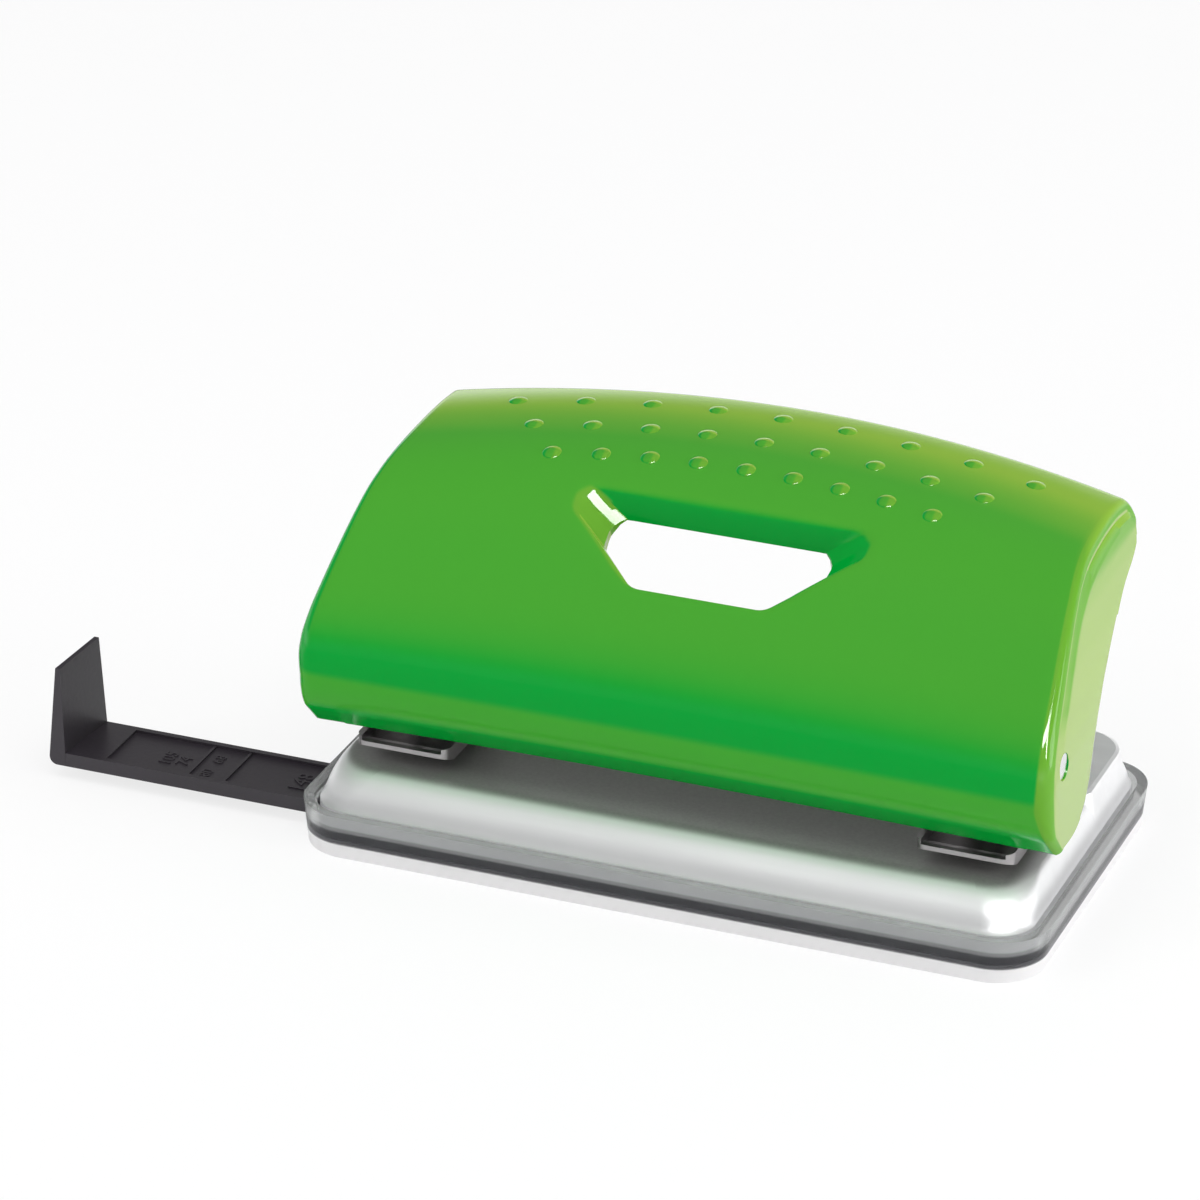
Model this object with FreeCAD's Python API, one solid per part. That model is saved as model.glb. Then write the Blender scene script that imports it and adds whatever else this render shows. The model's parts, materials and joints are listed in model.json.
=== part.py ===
import FreeCAD, Part
import os
from math import asin, atan, atan2, cos, degrees, hypot, pi, radians, sin, sqrt, tan
from FreeCAD import Vector

# Two-hole punch, in millimetres, standing on its chip tray.
# X runs along the machine, +Y to its back and +Z up. The origin is the middle of the tray's
# underside. Depths named ..._back are measured from the tray's front bottom edge.

# Chip tray: a soft plastic dish, a little wider at its rim
tray_length = 104.8
tray_depth = 56.2
tray_height = 6.16
tray_end_flare = 0.64
tray_side_flare = 0.32
tray_wall = 1.45
tray_floor = 1.2
tray_corner = 7.0
tray_ledge_height = 2.0
tray_ledge_width = 1.0
tray_slot_gap = 0.8

# Base plate: pressed steel sheet
base_sheet = 1.2
base_tray_gap = 0.3
base_foot_gap = 0.1
skirt_top = 6.0
skirt_corner = 5.6
platform_height = 10.6
platform_corner = 7.0
front_shoulder_run = 6.4
end_shoulder_run = 2.1
rear_shoulder_run = 2.0
# How far in and how far up the pressed shoulder is, as shares of its run and rise
shoulder_curve = [
    (0.0, 0.0), (0.09, 0.09), (0.20, 0.32), (0.36, 0.60), (0.57, 0.83), (0.79, 0.96), (1.0, 1.0),
]
paper_gap = 1.4
step_end_inset = 1.9
step_rear_inset = 2.0
step_corner = 5.5
step_front_corner = 2.0
step_edge_round = 0.7
step_front_slope = 0.5

# Punching: two holes, their spacing and their distance from the paper's edge
hole_spacing = 80.0
hole_margin = 12.0
punch_diameter = 5.5
punch_back = 21.4
running_gap = 0.05
punch_lift = 0.2
punch_top = 28.7
punch_dome_radius = 4.0
tip_hollow_radius = 5.0
groove_depth = 0.75
clip_sheet = 0.55
clip_radius = 4.4
clip_gap = 0.05
clip_mouth_share = 0.8
clip_relief_spread = 3.17
clip_relief_back = 0.3
clip_relief_radius = 0.55

# Springs round the punches
spring_wire = 0.7
spring_mean_radius = 3.5
spring_turns = 5.5
spring_seat_gap = 0.03

# Punch brackets: bent steel, one per punch
bracket_sheet = 0.9
bracket_width = 13.5
bracket_front_back = 8.7
bracket_rear_back = 45.5
bracket_lead_rise = 1.0
bracket_lead_depth = 2.6
bracket_lip_edge = 0.65
bracket_side_rise = 1.4
bracket_corner = 1.6
ear_front_back = 12.9
ear_rear_back = 27.0
ear_neck_height = 18.0
ear_shoulder_height = 27.2
ear_eye_radius = 2.3
guide_tab_depth = 10.4
guide_tab_height = 22.75
tab_end_gap = 0.4
rivet_spread = 8.0
bracket_rivet_back = 40.0
rivet_shank_radius = 1.5
rivet_head_radius = 2.3
rivet_head_height = 0.9

# Pivot of the handle, set back from the cover's front line
pivot_setback = 3.478
pivot_height = 28.6
rod_radius = 1.5
rod_head_radius = 1.8
rod_recess = 0.15
rod_groove_depth = 0.4
rod_clip_radius = 2.2
rod_clip_sheet = 0.5
rod_clip_gap = 0.1
fit_gap = 0.02

# Lever frame inside the cover
lever_sheet = 1.2
lever_punch_gap = 0.15
lever_front_back = 12.7
lever_rear_back = 29.6
lever_rear_rise = 2.4
lever_cover_gap = 0.3
lever_eye_radius = 3.0

# Cover screws
screw_spacing = 52.0
screw_back = 20.0
screw_radius = 1.5
screw_head_radius = 2.7
screw_head_height = 1.6
screw_length = 9.0
screw_slot_width = 0.7
screw_slot_depth = 0.8
boss_radius = 3.3
boss_reach = 30.0

# Cover: glossy plastic shell
cover_wall = 1.6
cover_end_round = 1.5
lip_wall = 2.1
cavity_reach = 20.0
dome_height = 0.42
dome_radius = 1.4
domes_per_row = 9
rod_hole_gap = 0.06

# Front and top line of the cover in the middle plane, as (back, height), with how far each
# point moves forward and down at 40 mm to either side. The line bows as the square of X.
bow_reference = 40.0
cover_front = [
    (10.4, 15.4, 0.7, 0.0),
    (7.0, 18.8, 0.8, 0.0),
    (4.9, 24.5, 1.0, 0.2),
    (5.6, 30.0, 1.3, 0.5),
    (9.3, 35.3, 1.8, 0.9),
    (14.2, 39.6, 2.3, 1.2),
    (19.6, 44.0, 2.8, 1.5),
    (26.3, 48.6, 3.2, 1.7),
    (33.3, 51.5, 3.5, 1.9),
    (40.3, 52.6, 3.6, 2.0),
    (47.9, 53.0, 3.6, 2.1),
    (52.6, 52.7, 3.4, 2.2),
]
# Round nose at the ridge, then the hollow rear line down to the foot
cover_nose = [(54.0, 51.9, 3.4, 2.2), (54.6, 50.6, 3.4, 2.2), (54.2, 49.3, 3.4, 2.2)]
cover_rear = [
    (53.1, 48.1, 3.4, 2.2),
    (48.8, 45.7, 3.1, 2.0),
    (44.8, 43.9, 2.6, 1.6),
    (37.7, 40.0, 1.7, 1.1),
    (26.8, 31.9, 0.8, 0.5),
    (23.1, 26.8, 0.3, 0.1),
    (20.8, 21.5, 0.0, 0.0),
    (19.3, 18.9, 0.0, 0.0),
    (16.7, 17.0, 0.0, 0.0),
    (12.8, 16.2, 0.0, 0.0),
]

# Half the cover's length at each height, as (half, height): its ends lean in towards the ridge
cover_end_line = [
    (53.3, 0.0), (53.3, 12.0), (53.3, 22.0), (53.25, 28.0), (53.05, 31.0), (52.6, 34.4), (51.85, 38.5),
    (50.8, 43.6), (50.25, 46.0), (49.65, 48.0), (48.9, 50.0), (47.2, 54.0), (44.6, 60.0),
]

# Grip domes: spacing, back, height in the middle plane, and their bow at 40 mm
dome_rows = [
    (9.32, 47.9, 52.95, 4.6, 1.95),
    (8.06, 40.3, 52.65, 4.7, 2.4),
    (6.77, 33.3, 51.5, 5.0, 2.6),
]

# Window in the front of the cover: half widths and backs of its corners at the surface and at the
# inner edge. The inner outline leans back less than the surface does, so the walls are low in front
# and high at the back, and the side walls slope out into the rear corners.
window_outer = [(9.3, 14.95), (20.9, 23.2), (20.4, 26.6)]
window_inner = [(9.4, 15.1), (15.1, 20.6), (15.0, 26.2)]
window_radii = (3.0, 1.4, 1.2)
window_foot_height = 40.5
window_outer_slope = 36.0
window_inner_slope = 23.0
window_drop = 0.3
window_spread = 0.25        # how far the cut goes on above the surface, as a share of its depth
window_flange = 1.4
window_flange_depth = 0.3
window_reach = 6.0

# Paper guide: black plastic strip with an upturned stop
guide_front_back = 7.0
guide_width = 11.2
guide_bottom = 2.0
guide_thickness = 2.0
guide_recess = 0.4
guide_rim = 0.9
guide_stop_face = 89.9
guide_stop_height = 17.0
guide_stop_drop = 0.6
guide_stop_foot = 2.6
guide_stop_tip = 0.7
guide_stop_lean = 0.9
guide_stop_skew = 1.1
guide_stop_round = 1.2
guide_end_gap = 0.6
guide_in_gap = 2.0
guide_run_gap = 0.15
guide_land = 5.9
guide_mark_width = 0.4
guide_mark_rise = 0.25
# Distances from the stop at which the paper's middle lines up with the machine's middle
reference_edge = 50.4
guide_settings = [68.5, 74.0, 105.0, 148.5]

# Saddle that carries the guide under the base
saddle_sheet = 0.45
saddle_left = 47.3
saddle_width = 4.1
saddle_hook_rise = 0.6
saddle_flange_depth = 8.0
saddle_rivet_radius = 1.0
saddle_rivet_head = 1.6
saddle_rivet_height = 0.6
saddle_rivet_pitch = 4.0

# Places worked out from the sizes above
front_y = -tray_depth / 2
ledge_share = tray_ledge_height / tray_height
skirt_half_length = tray_length / 2 + tray_end_flare * ledge_share - tray_wall - base_tray_gap
skirt_front = front_y + tray_wall + base_tray_gap - tray_side_flare * ledge_share
skirt_rear = -skirt_front
skirt_bottom = tray_ledge_height + base_foot_gap
step_height = platform_height + paper_gap
bracket_bottom = step_height
bracket_top = bracket_bottom + bracket_sheet
punch_bottom = bracket_bottom + punch_lift
punch_radius = punch_diameter / 2
hole_radius = punch_radius + running_gap
guide_top = guide_bottom + guide_thickness
spring_bottom = bracket_top + spring_seat_gap
clip_bottom = guide_tab_height - clip_gap - clip_sheet
spring_top = clip_bottom - spring_seat_gap
lever_bottom = punch_top + lever_punch_gap
lever_top = lever_bottom + lever_sheet


def back(distance):
    """Y of a place measured from the tray's front bottom edge."""
    return front_y + distance


def between(line, height, column):
    """A column of a line of points at a height, straight between the points; column 1 is the height."""
    for low, high in zip(line, line[1:]):
        if low[1] <= height <= high[1]:
            share = (height - low[1]) / (high[1] - low[1])
            return low[column] + (high[column] - low[column]) * share


punch_y = back(punch_back)
pivot_y = back(between(cover_front, pivot_height, 0) + pivot_setback)
step_front_y = punch_y + hole_margin


def box(x0, x1, y0, y1, z0, z1):
    return Part.makeBox(x1 - x0, y1 - y0, z1 - z0, Vector(x0, y0, z0))


def rod_x(x0, x1, y, z, radius):
    return Part.makeCylinder(radius, x1 - x0, Vector(x0, y, z), Vector(1, 0, 0))


def post(x, y, z0, z1, radius):
    return Part.makeCylinder(radius, z1 - z0, Vector(x, y, z0))


def side_prism(points, x0, x1):
    """Solid between x0 and x1 whose outline is a list of (y, z)."""
    corners = [Vector(x0, y, z) for y, z in points]
    face = Part.Face(Part.makePolygon(corners + corners[:1]))
    return face.extrude(Vector(x1 - x0, 0, 0))


def arc_corner(centre, radius, start, z):
    """Quarter arc about centre from the angle start, in degrees, counter-clockwise."""
    angles = [radians(start + part * 45) for part in range(3)]
    points = [Vector(centre[0] + radius * cos(a), centre[1] + radius * sin(a), z) for a in angles]
    return Part.Arc(*points).toShape()


def rounded_outline(half, front, rear, front_radius, rear_radius, z):
    """Wire of a rectangle with round corners, its middle at x = 0."""
    corners = [
        ((half - rear_radius, rear - rear_radius), rear_radius, 0),
        ((-half + rear_radius, rear - rear_radius), rear_radius, 90),
        ((-half + front_radius, front + front_radius), front_radius, 180),
        ((half - front_radius, front + front_radius), front_radius, 270),
    ]
    arcs = [arc_corner(centre, radius, start, z) for centre, radius, start in corners]
    edges = []
    for index, arc in enumerate(arcs):
        following = arcs[(index + 1) % 4]
        edges.append(arc)
        edges.append(Part.makeLine(arc.Vertexes[-1].Point, following.Vertexes[0].Point))
    return Part.Wire(edges)


def rounded_block(half, front, rear, radius, z0, z1):
    face = Part.Face(rounded_outline(half, front, rear, radius, radius, z0))
    return face.extrude(Vector(0, 0, z1 - z0))


def cut_all(shape, tools):
    for tool in tools:
        shape = shape.cut(tool)
    return shape


def fuse_all(shapes):
    shape = shapes[0]
    for other in shapes[1:]:
        shape = shape.fuse(other)
    return shape.removeSplitter()


# Chip tray

def flared_block(inset, z0, z1):
    """Tray-shaped solid, inset from the tray's outside by a wall."""
    wires = []
    for z in (z0, z1):
        share = z / tray_height
        half = tray_length / 2 + tray_end_flare * share - inset
        side = tray_depth / 2 + tray_side_flare * share - inset
        radius = tray_corner + tray_side_flare * share - inset
        wires.append(rounded_outline(half, -side, side, radius, radius, z))
    return Part.makeLoft(wires, True, True)


def make_chip_tray():
    tray = flared_block(0, 0, tray_height)
    tray = tray.cut(flared_block(tray_wall, tray_ledge_height, tray_height))
    tray = tray.cut(flared_block(tray_wall + tray_ledge_width, tray_floor, tray_ledge_height))
    slot = box(
        -tray_length, -tray_length / 2 + tray_wall + tray_ledge_width,
        back(guide_front_back) - tray_slot_gap, back(guide_front_back + guide_width) + tray_slot_gap,
        tray_floor, guide_top + tray_slot_gap,
    )
    return tray.cut(slot)


# Base plate

def pressed_dome(inset):
    """The base's outside, drawn in by inset and lowered by it."""
    wires = []
    rise = platform_height - skirt_top
    for inward, upward in shoulder_curve:
        half = skirt_half_length - inset - end_shoulder_run * inward
        front = skirt_front + inset + front_shoulder_run * inward
        rear = skirt_rear - inset - rear_shoulder_run * inward
        radius = skirt_corner - inset + (platform_corner - skirt_corner) * inward
        wires.append(rounded_outline(half, front, rear, radius, radius, skirt_top - inset + rise * upward))
    dome = Part.makeLoft(wires, True, False)
    skirt = rounded_block(
        skirt_half_length - inset, skirt_front + inset, skirt_rear - inset, skirt_corner - inset,
        skirt_bottom - inset, skirt_top - inset,
    )
    return skirt.fuse(dome).fuse(raised_step(inset))


def raised_step(inset):
    """Rear step that the paper stops at and the brackets stand on."""
    top_half = skirt_half_length - step_end_inset - inset
    top_rear = skirt_rear - step_rear_inset - inset
    front = step_front_y + inset
    low = platform_height - 2 * step_edge_round - base_sheet - inset
    levels = [
        (low, 0.0, step_front_slope),
        (step_height - inset - step_edge_round, step_edge_round, step_edge_round * 0.3),
        (step_height - inset - step_edge_round * 0.3, step_edge_round * 1.3, step_edge_round * 0.1),
        (step_height - inset, step_edge_round * 2, 0.0),
    ]
    wires = []
    for z, inward, forward in levels:
        spare = step_edge_round * 2 - inward
        wires.append(rounded_outline(
            top_half + spare, front - forward, top_rear + spare,
            step_front_corner, step_corner + spare - inset, z,
        ))
    return Part.makeLoft(wires, True, True)


def make_base_plate():
    base = pressed_dome(0).cut(pressed_dome(base_sheet))
    tools = [post(side * hole_spacing / 2, punch_y, 0, step_height, hole_radius) for side in (-1, 1)]
    for x, y in bracket_rivet_places():
        tools.append(post(x, y, 0, step_height + 1, rivet_shank_radius + fit_gap))
    for x, y in saddle_rivet_places():
        tools.append(post(x, y, 0, step_height, saddle_rivet_radius + fit_gap))
    tools.append(box(
        -tray_length, -skirt_half_length + base_sheet * 1.5,
        back(guide_front_back) - guide_run_gap, back(guide_front_back + guide_width) + guide_run_gap,
        0, guide_top + guide_run_gap,
    ))
    return cut_all(base, tools).removeSplitter()


# Brackets, their rivets and the punches

def bracket_rivet_places():
    y = back(bracket_rivet_back)
    return [
        (side * hole_spacing / 2 + end * rivet_spread / 2, y)
        for side in (-1, 1)
        for end in (-1, 1)
    ]


def ear_outline():
    """Ear as seen from the side: up from the plate and forward to the pivot's eye."""
    return [
        (back(ear_front_back), bracket_bottom),
        (back(ear_rear_back), bracket_bottom),
        (back(ear_rear_back), guide_tab_height + bracket_sheet),
        (back(ear_front_back), ear_shoulder_height),
        (pivot_y + ear_eye_radius * sin(radians(35)), pivot_height + ear_eye_radius * cos(radians(35))),
        (pivot_y, pivot_height),
        (pivot_y - ear_eye_radius * cos(radians(35)), pivot_height - ear_eye_radius * sin(radians(35))),
        (back(ear_front_back), ear_neck_height),
    ]


def plate_outline():
    """Plate as seen from the side: flat, with its front edge bent up to lead the paper in."""
    front = back(bracket_front_back)
    rear = back(bracket_rear_back)
    bend = front + bracket_lead_depth
    lip_bottom = bracket_bottom + bracket_lead_rise
    lip_top = lip_bottom + bracket_lip_edge
    return [
        (front, lip_bottom), (bend, bracket_bottom), (rear, bracket_bottom), (rear, bracket_top),
        (bend + bracket_sheet / 3, bracket_top), (front + bracket_sheet, lip_top), (front, lip_top),
    ]


def dish_side_outline():
    """Side wall between the front edge and the ear."""
    front = back(bracket_front_back)
    bend = front + bracket_lead_depth
    top = bracket_top + bracket_side_rise
    rear = back(ear_front_back) + 1
    return [
        (front, bracket_bottom + bracket_lead_rise), (bend, bracket_bottom),
        (rear, bracket_bottom), (rear, top), (front, top),
    ]


def make_bracket(x):
    """Bracket whose punch stands at x."""
    left = x - bracket_width / 2
    right = x + bracket_width / 2
    parts = [side_prism(plate_outline(), left, right)]
    for x0 in (left, right - bracket_sheet):
        parts.append(side_prism(dish_side_outline(), x0, x0 + bracket_sheet))
        parts.append(side_prism(ear_outline(), x0, x0 + bracket_sheet))
        parts.append(rod_x(x0, x0 + bracket_sheet, pivot_y, pivot_height, ear_eye_radius))
    tab_front = punch_y - guide_tab_depth / 2
    parts.append(box(
        left + bracket_sheet + tab_end_gap, right - bracket_sheet / 2,
        tab_front, tab_front + guide_tab_depth,
        guide_tab_height, guide_tab_height + bracket_sheet,
    ))
    bracket = fuse_all(parts).common(bracket_plan(x))
    tools = [
        post(x, punch_y, bracket_bottom - 1, punch_top, hole_radius),
        rod_x(left - 1, right + 1, pivot_y, pivot_height, rod_radius + running_gap),
    ]
    rivet_hole = rivet_shank_radius + fit_gap
    for rivet_x, rivet_y in bracket_rivet_places():
        tools.append(post(rivet_x, rivet_y, bracket_bottom - 1, bracket_top + 1, rivet_hole))
    return cut_all(bracket, tools)


def bracket_plan(x):
    """Round corners of the bracket as seen from above, below the ears' necks; open above them."""
    outline = rounded_outline(
        bracket_width / 2, back(bracket_front_back), back(bracket_rear_back),
        bracket_corner, bracket_corner, bracket_bottom - 1,
    )
    low = Part.Face(outline).extrude(Vector(0, 0, ear_neck_height - bracket_bottom))
    high = box(
        -bracket_width / 2, bracket_width / 2, pivot_y - 2 * ear_eye_radius, back(bracket_rear_back),
        ear_neck_height - 2, pivot_height + 2 * ear_eye_radius,
    )
    plan = low.fuse(high)
    plan.translate(Vector(x, 0, 0))
    return plan


def make_bracket_rivets(side):
    solids = []
    for x, y in bracket_rivet_places():
        if x * side > 0:
            under = step_height - base_sheet
            low = under - rivet_head_height
            high = bracket_top + rivet_head_height
            shank = post(x, y, low, high, rivet_shank_radius)
            lower = post(x, y, low, under, rivet_head_radius)
            upper = post(x, y, bracket_top, high, rivet_head_radius)
            rim = [e for e in upper.Edges if e.Closed and e.BoundBox.ZMin > high - fit_gap]
            upper = upper.makeFillet(rivet_head_height * 0.7, rim)
            solids.append(fuse_all([shank, lower, upper]))
    return Part.makeCompound(solids)


def make_punch(x):
    punch = post(x, punch_y, punch_bottom, punch_top, punch_radius)
    crown = Part.makeSphere(punch_dome_radius, Vector(x, punch_y, punch_top - punch_dome_radius))
    cap_bottom = punch_top - punch_dome_radius + sqrt(punch_dome_radius ** 2 - punch_radius ** 2)
    keep = post(x, punch_y, punch_bottom, cap_bottom, punch_radius)
    punch = punch.common(crown.fuse(keep))
    hollow = Part.makeCylinder(
        tip_hollow_radius, 2 * punch_diameter,
        Vector(x, punch_y - punch_diameter, punch_bottom - tip_hollow_radius * 0.86), Vector(0, 1, 0),
    )
    groove_bottom = clip_bottom - fit_gap
    groove_top = clip_bottom + clip_sheet + fit_gap
    groove = post(x, punch_y, groove_bottom, groove_top, punch_radius + 1)
    groove = groove.cut(post(x, punch_y, groove_bottom, groove_top, punch_radius - groove_depth))
    return punch.cut(hollow).cut(groove).removeSplitter()


def make_punch_clip(x):
    """E-clip: a ring with an open mouth towards the back."""
    inner = punch_radius - groove_depth + fit_gap
    top = clip_bottom + clip_sheet
    ring = post(x, punch_y, clip_bottom, top, clip_radius)
    mouth_half = inner * clip_mouth_share
    mouth = box(x - mouth_half, x + mouth_half, punch_y, punch_y + clip_radius + 1, clip_bottom - 1, top + 1)
    y = punch_y + clip_relief_back
    relief = [
        post(x + spread, y, clip_bottom - 1, top + 1, clip_relief_radius)
        for spread in (-clip_relief_spread, clip_relief_spread)
    ]
    return cut_all(ring, [post(x, punch_y, clip_bottom - 1, top + 1, inner), mouth] + relief)


def bent_arc(start, tangent, end):
    """Arc from start, leaving along tangent, to end."""
    chord = end - start
    half = chord.Length / 2
    along = chord.normalize()
    lean = tangent.dot(along)
    outward = (tangent - along * lean).normalize()
    height = half * tan(atan2(sqrt(max(0.0, 1 - lean * lean)), lean) / 2)
    middle = start + along * half + outward * height
    return Part.Arc(start, middle, end).toShape()


def biarc(start, start_way, end, end_way):
    """Two arcs that join two points of a helix smoothly."""
    chord = end - start
    ways = start_way + end_way
    spread = 2 * (1 - start_way.dot(end_way))
    reach = (-chord.dot(ways) + sqrt(chord.dot(ways) ** 2 + spread * chord.dot(chord))) / spread
    joint = (start + start_way * reach + end - end_way * reach) * 0.5
    first = bent_arc(start, start_way, joint)
    second = bent_arc(end, end_way * -1, joint)
    middle = second.valueAt((second.FirstParameter + second.LastParameter) / 2)
    return [first, Part.Arc(joint, middle, end).toShape()]


def helix_point(x, turn, low, rise):
    angle = 2 * pi * turn
    return Vector(
        x + spring_mean_radius * cos(angle),
        punch_y + spring_mean_radius * sin(angle),
        low + rise * turn / spring_turns,
    )


def helix_way(turn, rise):
    angle = 2 * pi * turn
    climb = rise / spring_turns / (2 * pi * spring_mean_radius)
    return Vector(-sin(angle), cos(angle), climb).normalize()


def make_punch_spring(x):
    low = spring_bottom + spring_wire / 2
    rise = spring_top - spring_bottom - spring_wire
    steps = int(round(spring_turns * 4))
    edges = []
    for step in range(steps):
        one = spring_turns * step / steps
        two = spring_turns * (step + 1) / steps
        edges += biarc(
            helix_point(x, one, low, rise), helix_way(one, rise),
            helix_point(x, two, low, rise), helix_way(two, rise),
        )
    path = Part.Wire(edges)
    profile = Part.Wire(Part.makeCircle(spring_wire / 2, helix_point(x, 0, low, rise), helix_way(0, rise)))
    coil = path.makePipeShell([profile], True, False)
    wanted = pi * (spring_wire / 2) ** 2 * path.Length
    print("spring volume over section times length", round(coil.Volume / wanted, 4))
    print("least gap between spring turns", round(rise / spring_turns - spring_wire, 2), "mm")
    return coil


# Pivot rod and its clips

def rod_end():
    """X of the cover's end face at the pivot."""
    return end_half_at(pivot_height)


def end_half_at(height):
    """Half the cover's length at a height."""
    return between(cover_end_line, height, 0)


def pivot_clip_inner():
    """X of the side of each rod clip that faces its bracket ear."""
    return (hole_spacing + bracket_width) / 2 - bracket_sheet - rod_clip_gap


def make_pivot_rod():
    end = rod_end() - rod_recess
    shoulder = rod_end() - cover_wall
    rod = rod_x(-end, end, pivot_y, pivot_height, rod_radius)
    head = rod_x(shoulder, end, pivot_y, pivot_height, rod_head_radius)
    tools = []
    for side in (-1, 1):
        outer = pivot_clip_inner() + fit_gap
        inner = pivot_clip_inner() - rod_clip_sheet - fit_gap
        x0, x1 = sorted((side * inner, side * outer))
        ring = rod_x(x0, x1, pivot_y, pivot_height, rod_radius + 1)
        tools.append(ring.cut(rod_x(x0, x1, pivot_y, pivot_height, rod_radius - rod_groove_depth)))
    return cut_all(rod.fuse(head), tools).removeSplitter()


def make_pivot_clip(side):
    x0, x1 = sorted((side * (pivot_clip_inner() - rod_clip_sheet), side * pivot_clip_inner()))
    inner = rod_radius - rod_groove_depth + fit_gap
    ring = rod_x(x0, x1, pivot_y, pivot_height, rod_clip_radius)
    bore = rod_x(x0 - 1, x1 + 1, pivot_y, pivot_height, inner)
    mouth = box(
        x0 - 1, x1 + 1, pivot_y, pivot_y + rod_clip_radius + 1,
        pivot_height - inner * clip_mouth_share, pivot_height + inner * clip_mouth_share,
    )
    return ring.cut(bore).cut(mouth)


# Lever frame and the screws that hold the cover on it

def make_lever_frame():
    rear = back(lever_rear_back)
    front = back(lever_front_back)
    half = end_half_at(lever_top + lever_rear_rise) - cover_wall - lever_cover_gap
    web = box(-half, half, front, rear, lever_bottom, lever_top)
    stiffener = box(-half, half, rear - lever_sheet, rear, lever_bottom, lever_top + lever_rear_rise)
    parts = [web, stiffener]
    flange = [
        (front + 1, lever_top),
        (rear, lever_top),
        (rear, lever_bottom - lever_sheet),
        (front + 1, pivot_height - lever_eye_radius * 0.8),
        (pivot_y, pivot_height - lever_eye_radius),
        (pivot_y, pivot_height + lever_eye_radius * 0.6),
    ]
    for x0 in (-half, half - lever_sheet):
        parts.append(side_prism(flange, x0, x0 + lever_sheet))
        parts.append(rod_x(x0, x0 + lever_sheet, pivot_y, pivot_height, lever_eye_radius))
    frame = fuse_all(parts)
    tools = [rod_x(-half - 1, half + 1, pivot_y, pivot_height, rod_radius + fit_gap)]
    for side in (-1, 1):
        tools.append(post(
            side * screw_spacing / 2, back(screw_back),
            lever_bottom - 1, lever_top + 1, screw_radius + fit_gap,
        ))
    return cut_all(frame, tools)


def make_cover_screws():
    screws = []
    for side in (-1, 1):
        x = side * screw_spacing / 2
        y = back(screw_back)
        head = post(x, y, lever_bottom - screw_head_height, lever_bottom, screw_head_radius)
        rim = [e for e in head.Edges if e.Closed and e.BoundBox.ZMax < lever_bottom - 0.1]
        head = head.makeFillet(screw_head_height * 0.6, rim)
        shank = post(x, y, lever_bottom - 0.1, lever_bottom + screw_length, screw_radius)
        slot = box(
            x - screw_slot_width / 2, x + screw_slot_width / 2,
            y - screw_head_radius - 1, y + screw_head_radius + 1,
            lever_bottom - screw_head_height - 1, lever_bottom - screw_head_height + screw_slot_depth,
        )
        screws.append(head.fuse(shank).cut(slot).removeSplitter())
    return Part.makeCompound(screws)


# Cover

def bowed(point, x):
    """A point of the cover's middle plane, moved to the section at x."""
    share = (x / bow_reference) ** 2
    distance, height, forward, down = point
    return Vector(x, back(distance) - forward * share, height - down * share)


def spline(points):
    curve = Part.BSplineCurve()
    curve.interpolate(points)
    return curve.toShape()


def chain(pieces):
    """Wire of splines and lines from lists of points that start where the last one ended."""
    edges = []
    for points in pieces:
        edges.append(spline(points) if len(points) > 2 else Part.makeLine(*points))
    return Part.Wire(edges)


def cover_section(x):
    front = [bowed(p, x) for p in cover_front]
    nose = [bowed(p, x) for p in cover_nose]
    rear = [bowed(p, x) for p in cover_rear]
    return chain([front[:2], front[1:], front[-1:] + nose + rear[:1], rear, [rear[-1], front[0]]])


def inner_line():
    """The front line moved in by the wall, point by point, as far as the ridge."""
    moved = []
    for index in range(1, len(cover_front) - 1):
        before, here, after = cover_front[index - 1:index + 2]
        dy, dz = after[0] - before[0], after[1] - before[1]
        scale = cover_wall / hypot(dy, dz)
        moved.append((here[0] + dz * scale, here[1] - dy * scale, here[2], here[3]))
    return moved


def cavity_section(x):
    inner = [bowed(p, x) for p in inner_line()]
    foot = cover_front[0]
    foot_y = foot[0] + cover_wall * 1.1
    start = bowed((foot_y, foot[1] - 3, foot[2], 0), x)
    knee = bowed((foot_y, foot[1] + cover_wall * 0.5, foot[2], 0), x)
    nose = cover_nose[1]
    lip_y = nose[0] - lip_wall
    lip_top = bowed((lip_y, cover_front[-1][1] - cover_wall - 0.3, nose[2], nose[3]), x)
    lip_foot = bowed((lip_y, cover_rear[0][1] - 6, nose[2], nose[3]), x)
    far_high = Vector(x, back(tray_depth + cavity_reach), lip_foot.z)
    far_low = Vector(x, far_high.y, start.z)
    return chain([
        [start, knee], [knee, inner[0]], inner, [inner[-1], lip_top],
        [lip_top, lip_foot], [lip_foot, far_high], [far_high, far_low], [far_low, start],
    ])


def between_ends(inset):
    """Solid between the two leaning end faces, inset from them by a wall."""
    front = back(-20)
    right = [Vector(half - inset, front, z) for half, z in cover_end_line]
    left = [Vector(-p.x, p.y, p.z) for p in reversed(right)]
    outline = chain([right, [right[-1], left[0]], left, [left[-1], right[0]]])
    return Part.Face(outline).extrude(Vector(0, tray_depth + 50, 0))


def lofted(section):
    stations = [-54, -42, -28, -14, 0, 14, 28, 42, 54]
    return Part.makeLoft([section(x) for x in stations], True, False)


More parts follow.
